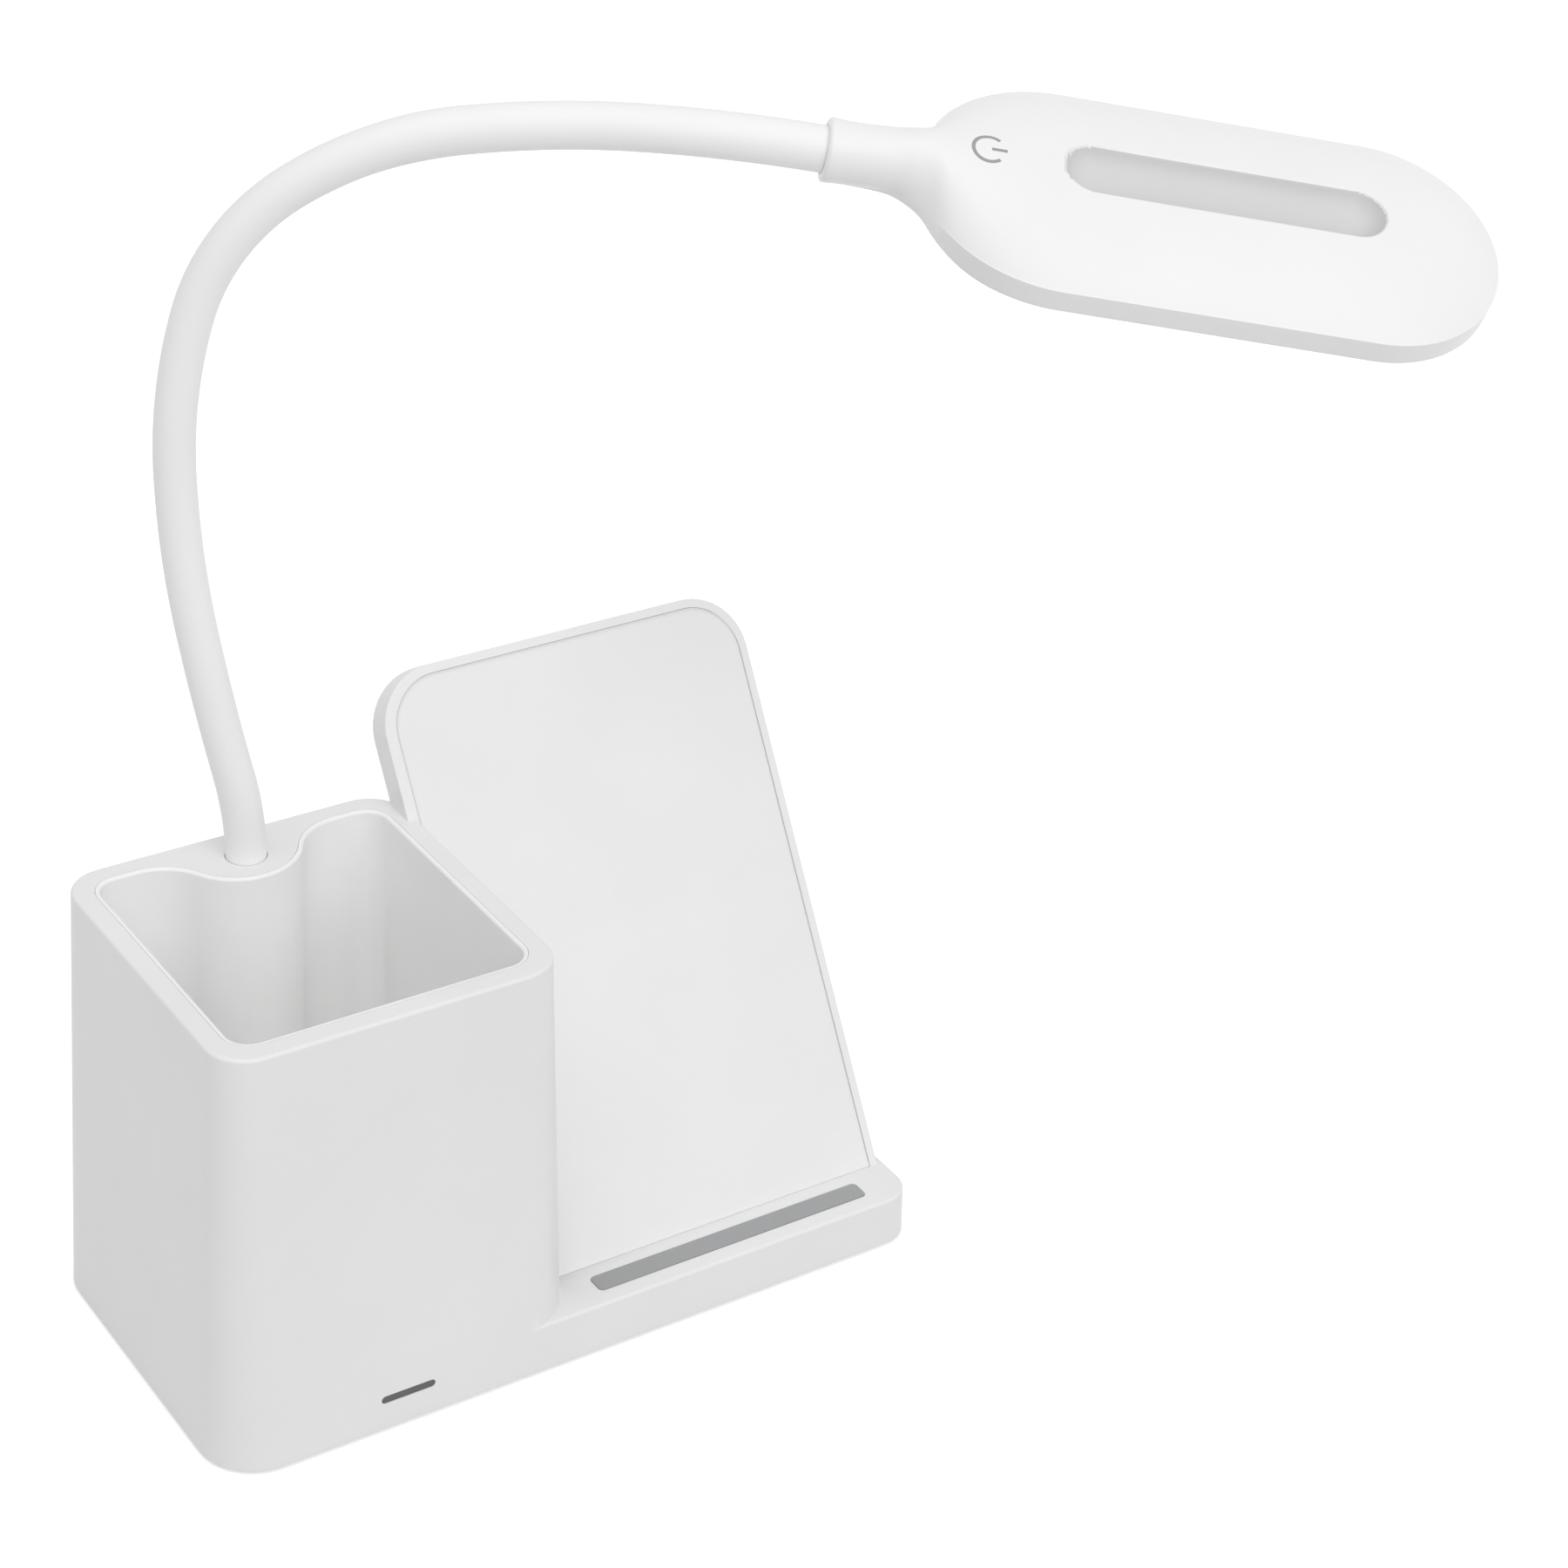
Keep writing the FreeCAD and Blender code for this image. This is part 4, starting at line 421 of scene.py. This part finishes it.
def head_stations():
    """Distances along the head, close together where the form turns quickly."""
    run = [COLLAR_LIP * (1 - math.cos(math.pi / 2 * step / 8)) for step in range(8)]
    near_trough, far_trough, turned = 60, 96, 111
    run += steps_between(COLLAR_LIP, WAIST_FULL, 6) + steps_between(WAIST_FULL, 12, 12)
    run += steps_between(12, SHOULDER, 40) + steps_between(SHOULDER, near_trough, 60)
    run += steps_between(near_trough, far_trough, 18) + steps_between(far_trough, turned, 60)
    first = math.asin((turned - FAR_END) / HEAD_HALF)
    run += [FAR_END + HEAD_HALF * math.sin(first + (math.pi / 2 - first) * step / 26)
            for step in range(27)]
    return run


def across_shares():
    """Places across the top, as shares of the half width, from one side to the other."""
    edge = 8.0 / HEAD_HALF
    outer = [math.sin(math.asin(edge) + (math.pi / 2 - math.asin(edge)) * step / 22)
             for step in range(22, 0, -1)]
    inner = steps_between(edge, -edge, 64)
    return outer + inner + [-edge] + [-share for share in reversed(outer)]


def make_head():
    """Top, band and underside of the head as one skin, drawn section by section."""
    stations, shares = head_stations(), across_shares()
    around = len(shares) + UNDER_POINTS
    rows = [section(u, shares) for u in stations]
    maker = bmesh.new()
    bmesh.ops.create_grid(maker, x_segments=len(stations) - 1, y_segments=around, size=1)
    for vert in maker.verts:
        row = round((vert.co.x + 1) / 2 * (len(stations) - 1))
        column = round((vert.co.y + 1) / 2 * around) % around
        vert.co = (stations[row], *rows[row][column])
    # Faces inside the trough take the greyer second finish, which is painted shade in the
    # recess.
    for face in maker.faces:
        u, v, w = face.calc_center_median()
        past = max(TROUGH_NEAR - u, 0.0, u - TROUGH_FAR)
        if w > 0 and math.hypot(past, v) < TROUGH_HALF - 0.1:
            face.material_index = 1
    bmesh.ops.remove_doubles(maker, verts=maker.verts, dist=0.0005)
    mouth = [edge for edge in maker.edges if edge.is_boundary]
    for shift, scale in ((0.0, COLLAR_BORE / half_width(0)), (BORE_DEEP, 1.0)):
        done = bmesh.ops.extrude_edge_only(maker, edges=mouth)
        verts = [part for part in done["geom"] if isinstance(part, bmesh.types.BMVert)]
        mouth = [part for part in done["geom"] if isinstance(part, bmesh.types.BMEdge)]
        bmesh.ops.scale(maker, vec=(1, scale, scale), verts=verts)
        bmesh.ops.translate(maker, vec=(shift, 0, 0), verts=verts)
    bmesh.ops.holes_fill(maker, edges=mouth, sides=0)
    bmesh.ops.transform(maker, matrix=HEAD, verts=maker.verts)
    piece = as_piece("head_skin", maker, "head_white", sharp=40)
    piece.data.materials.append(FINISHES["trough_painted_shade"])
    return piece


def base_cutter():
    """Flat stadium that makes the seat of the head's bottom cover."""
    maker = bmesh.new()
    done = bmesh.ops.create_circle(maker, cap_ends=True, segments=128, radius=SEAT_HALF)
    for vert in done["verts"]:
        vert.co.x += FAR_END if vert.co.x > 0 else SHOULDER
        vert.co.z = BAND_LOW - SEAT_SPARE
    lid = bmesh.ops.extrude_face_region(maker, geom=maker.faces[:])
    verts = [part for part in lid["geom"] if isinstance(part, bmesh.types.BMVert)]
    bmesh.ops.translate(maker, vec=(0, 0, SEAT_SPARE + SEAT_DEEP), verts=verts)
    bmesh.ops.transform(maker, matrix=HEAD, verts=maker.verts)
    return as_piece("base_cutter", maker, "head_white")


def cut_away(piece, cutter):
    """Take the cutter's form out of the piece and drop the cutter."""
    hollow = piece.modifiers.new("seat", "BOOLEAN")
    hollow.operation = "DIFFERENCE"
    hollow.solver = "EXACT"
    hollow.object = cutter
    bpy.context.view_layer.update()
    graph = bpy.context.evaluated_depsgraph_get()
    mesh = bpy.data.meshes.new_from_object(piece.evaluated_get(graph))
    piece.modifiers.clear()
    piece.data = mesh
    bpy.data.objects.remove(cutter)


head_skin = make_head()
cut_away(head_skin, base_cutter())
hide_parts("head_shell")
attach(head_skin, "head")


def on_top(maker, lift):
    """Lay flat pieces on the head's top face."""
    for vert in maker.verts:
        vert.co.z = top_of(vert.co.x, vert.co.y) + lift
    bmesh.ops.transform(maker, matrix=HEAD, verts=maker.verts)


def make_power_mark():
    """Open ring and bar inlaid in the top of the head."""
    centre, radius, line = 30.7, 3.2, 0.72
    opening = math.radians(50)
    bar_start, bar_half = 0.45, 1.52
    maker = bmesh.new()
    bmesh.ops.create_grid(maker, x_segments=72, y_segments=3, size=1)
    ring = maker.verts[:]
    for vert in ring:
        angle = opening + (vert.co.x + 1) * (math.pi - opening)
        reach = radius + vert.co.y * line / 2
        vert.co = (centre + reach * math.cos(angle), reach * math.sin(angle), 0)
    done = bmesh.ops.create_grid(maker, x_segments=14, y_segments=3, size=1)
    for vert in done["verts"]:
        reach = bar_start + (vert.co.x + 1) * bar_half
        vert.co = (centre + reach, vert.co.y * line / 2, 0)
    on_top(maker, 0.02)
    piece = as_piece("power_mark_inlay", maker, "mark_grey")
    thick = piece.modifiers.new("thick", "SOLIDIFY")
    thick.thickness = 0.06 * MM
    thick.offset = -1
    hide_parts("power_mark")
    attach(piece, "head")


make_power_mark()


# ---------------------------------------------------------------- charging panel
REST_LEAN = math.radians(31.8)
REST_FOOT = Vector((0, -30.25, 12.6))
PANEL_LEFT, PANEL_RIGHT, PANEL_TALL, PANEL_CORNER = -5.1, 82.05, 133.7, 11.7
SEAM_WIDE, SEAM_DEEP = 0.2, 0.09
# Where the seam starts above the rest's foot.
SEAM_START = 0.1


def panel_outline(inset):
    """Points (x, distance up the slope) along the panel's sides and top."""
    corner = PANEL_CORNER - inset
    points = [(PANEL_LEFT + inset, SEAM_START)]
    for x, first in ((PANEL_LEFT + PANEL_CORNER, 180), (PANEL_RIGHT - PANEL_CORNER, 90)):
        for step in range(17):
            angle = math.radians(first - 90 * step / 16)
            points.append((x + corner * math.cos(angle),
                           PANEL_TALL - PANEL_CORNER + corner * math.sin(angle)))
    return points + [(PANEL_RIGHT - inset, SEAM_START)]


def make_panel_seam():
    """Strip of painted shadow sunk in the joint between the charging panel and its border."""
    edges = [panel_outline(0.0), panel_outline(SEAM_WIDE)]
    last = len(edges[0]) - 1
    maker = bmesh.new()
    bmesh.ops.create_grid(maker, x_segments=last, y_segments=1, size=1)
    up = Vector((0, math.sin(REST_LEAN), math.cos(REST_LEAN)))
    out = Vector((0, -math.cos(REST_LEAN), math.sin(REST_LEAN)))
    for vert in maker.verts:
        side = edges[round((vert.co.y + 1) / 2)]
        x, rise = side[round((vert.co.x + 1) / 2 * last)]
        vert.co = (Vector((x, 0, 0)) + REST_FOOT + up * rise - out * SEAM_DEEP) * MM
    piece = as_piece("panel_seam", maker, "panel_white")
    piece.data.materials[0] = FINISHES["seam_painted_shadow"]
    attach(piece, "base")


make_panel_seam()


# ---------------------------------------------------------------- studio
def seen_directly(tree):
    """Socket that is 1 for what the camera sees, also in gloss or through clear matter."""
    rays = tree.nodes.new("ShaderNodeLightPath")
    seen = rays.outputs["Is Camera Ray"]
    for kind in ("Is Glossy Ray", "Is Transmission Ray"):
        either = tree.nodes.new("ShaderNodeMath")
        either.operation = "MAXIMUM"
        tree.links.new(seen, either.inputs[0])
        tree.links.new(rays.outputs[kind], either.inputs[1])
        seen = either.outputs["Value"]
    return seen


def make_floor():
    """Pale floor that turns white for the camera but keeps the soft shadow."""
    maker = bmesh.new()
    bmesh.ops.create_grid(maker, x_segments=1, y_segments=1, size=6)
    mesh = bpy.data.meshes.new("floor")
    maker.to_mesh(mesh)
    maker.free()
    floor = bpy.data.objects.new("floor", mesh)
    bpy.context.scene.collection.objects.link(floor)
    made = bpy.data.materials.new("floor_pale")
    made.use_nodes = True
    tree = made.node_tree
    tree.nodes.clear()
    end = tree.nodes.new("ShaderNodeOutputMaterial")
    blend = tree.nodes.new("ShaderNodeMixShader")
    matt = tree.nodes.new("ShaderNodeBsdfDiffuse")
    matt.inputs["Color"].default_value = (0.66, 0.66, 0.66, 1)
    bright = tree.nodes.new("ShaderNodeBsdfDiffuse")
    bright.inputs["Color"].default_value = (0.98, 0.98, 0.98, 1)
    glow = tree.nodes.new("ShaderNodeEmission")
    glow.inputs["Color"].default_value = (1, 1, 1, 1)
    glow.inputs["Strength"].default_value = 0.36
    added = tree.nodes.new("ShaderNodeAddShader")
    tree.links.new(bright.outputs["BSDF"], added.inputs[0])
    tree.links.new(glow.outputs["Emission"], added.inputs[1])
    tree.links.new(seen_directly(tree), blend.inputs["Fac"])
    tree.links.new(matt.outputs["BSDF"], blend.inputs[1])
    tree.links.new(added.outputs["Shader"], blend.inputs[2])
    tree.links.new(blend.outputs["Shader"], end.inputs["Surface"])
    mesh.materials.append(made)


def make_world():
    """White where it is seen, softer where it lights the object."""
    world = bpy.data.worlds.new("studio")
    world.use_nodes = True
    tree = world.node_tree
    tree.nodes.clear()
    end = tree.nodes.new("ShaderNodeOutputWorld")
    blend = tree.nodes.new("ShaderNodeMixShader")
    soft = tree.nodes.new("ShaderNodeBackground")
    soft.inputs["Color"].default_value = (1, 1, 1, 1)
    soft.inputs["Strength"].default_value = 0.57
    white = tree.nodes.new("ShaderNodeBackground")
    white.inputs["Color"].default_value = (1, 1, 1, 1)
    white.inputs["Strength"].default_value = 1.0
    tree.links.new(seen_directly(tree), blend.inputs["Fac"])
    tree.links.new(soft.outputs["Background"], blend.inputs[1])
    tree.links.new(white.outputs["Background"], blend.inputs[2])
    tree.links.new(blend.outputs["Shader"], end.inputs["Surface"])
    bpy.context.scene.world = world


def add_sun(name, towards, strength, spread):
    """Sun that stands in a direction, with its strength and its spread in degrees."""
    lamp = bpy.data.lights.new(name, "SUN")
    lamp.energy = strength
    lamp.angle = math.radians(spread)
    item = bpy.data.objects.new(name, lamp)
    item.rotation_mode = "QUATERNION"
    item.rotation_quaternion = Vector(towards).to_track_quat("Z", "Y")
    bpy.context.scene.collection.objects.link(item)


def add_pot_light():
    """Narrow beam straight down into the pen pot."""
    lamp = bpy.data.lights.new("pot_light", "SPOT")
    lamp.energy = 5.0
    lamp.shadow_soft_size = 0.006
    lamp.spot_size = math.radians(10)
    lamp.spot_blend = 0.6
    item = bpy.data.objects.new("pot_light", lamp)
    item.location = (-0.044, -0.008, 0.36)
    item.visible_camera = False
    item.visible_glossy = False
    bpy.context.scene.collection.objects.link(item)


def make_camera():
    """Camera at the height and angle from which the lamp is mostly seen."""
    lens = bpy.data.cameras.new("camera")
    lens.lens = 82.76
    lens.sensor_width = 36.0
    lens.clip_start, lens.clip_end = 0.05, 20.0
    item = bpy.data.objects.new("camera", lens)
    right = Vector((0.83299, -0.55056, 0.05494))
    up = Vector((0.24033, 0.44947, 0.86036))
    back = Vector((-0.49837, -0.70347, 0.50671))
    turn = Matrix((right, up, back)).transposed().to_4x4()
    item.matrix_world = Matrix.Translation((-0.32347, -0.55863, 0.50353)) @ turn
    bpy.context.scene.collection.objects.link(item)
    bpy.context.scene.camera = item


make_floor()
make_world()
add_sun("above", (-0.22, -0.09, 0.97), 0.58, 50)
add_pot_light()
add_sun("front", (-0.01, -0.82, 0.57), 0.83, 50)
make_camera()
bpy.context.scene.view_settings.view_transform = "Standard"
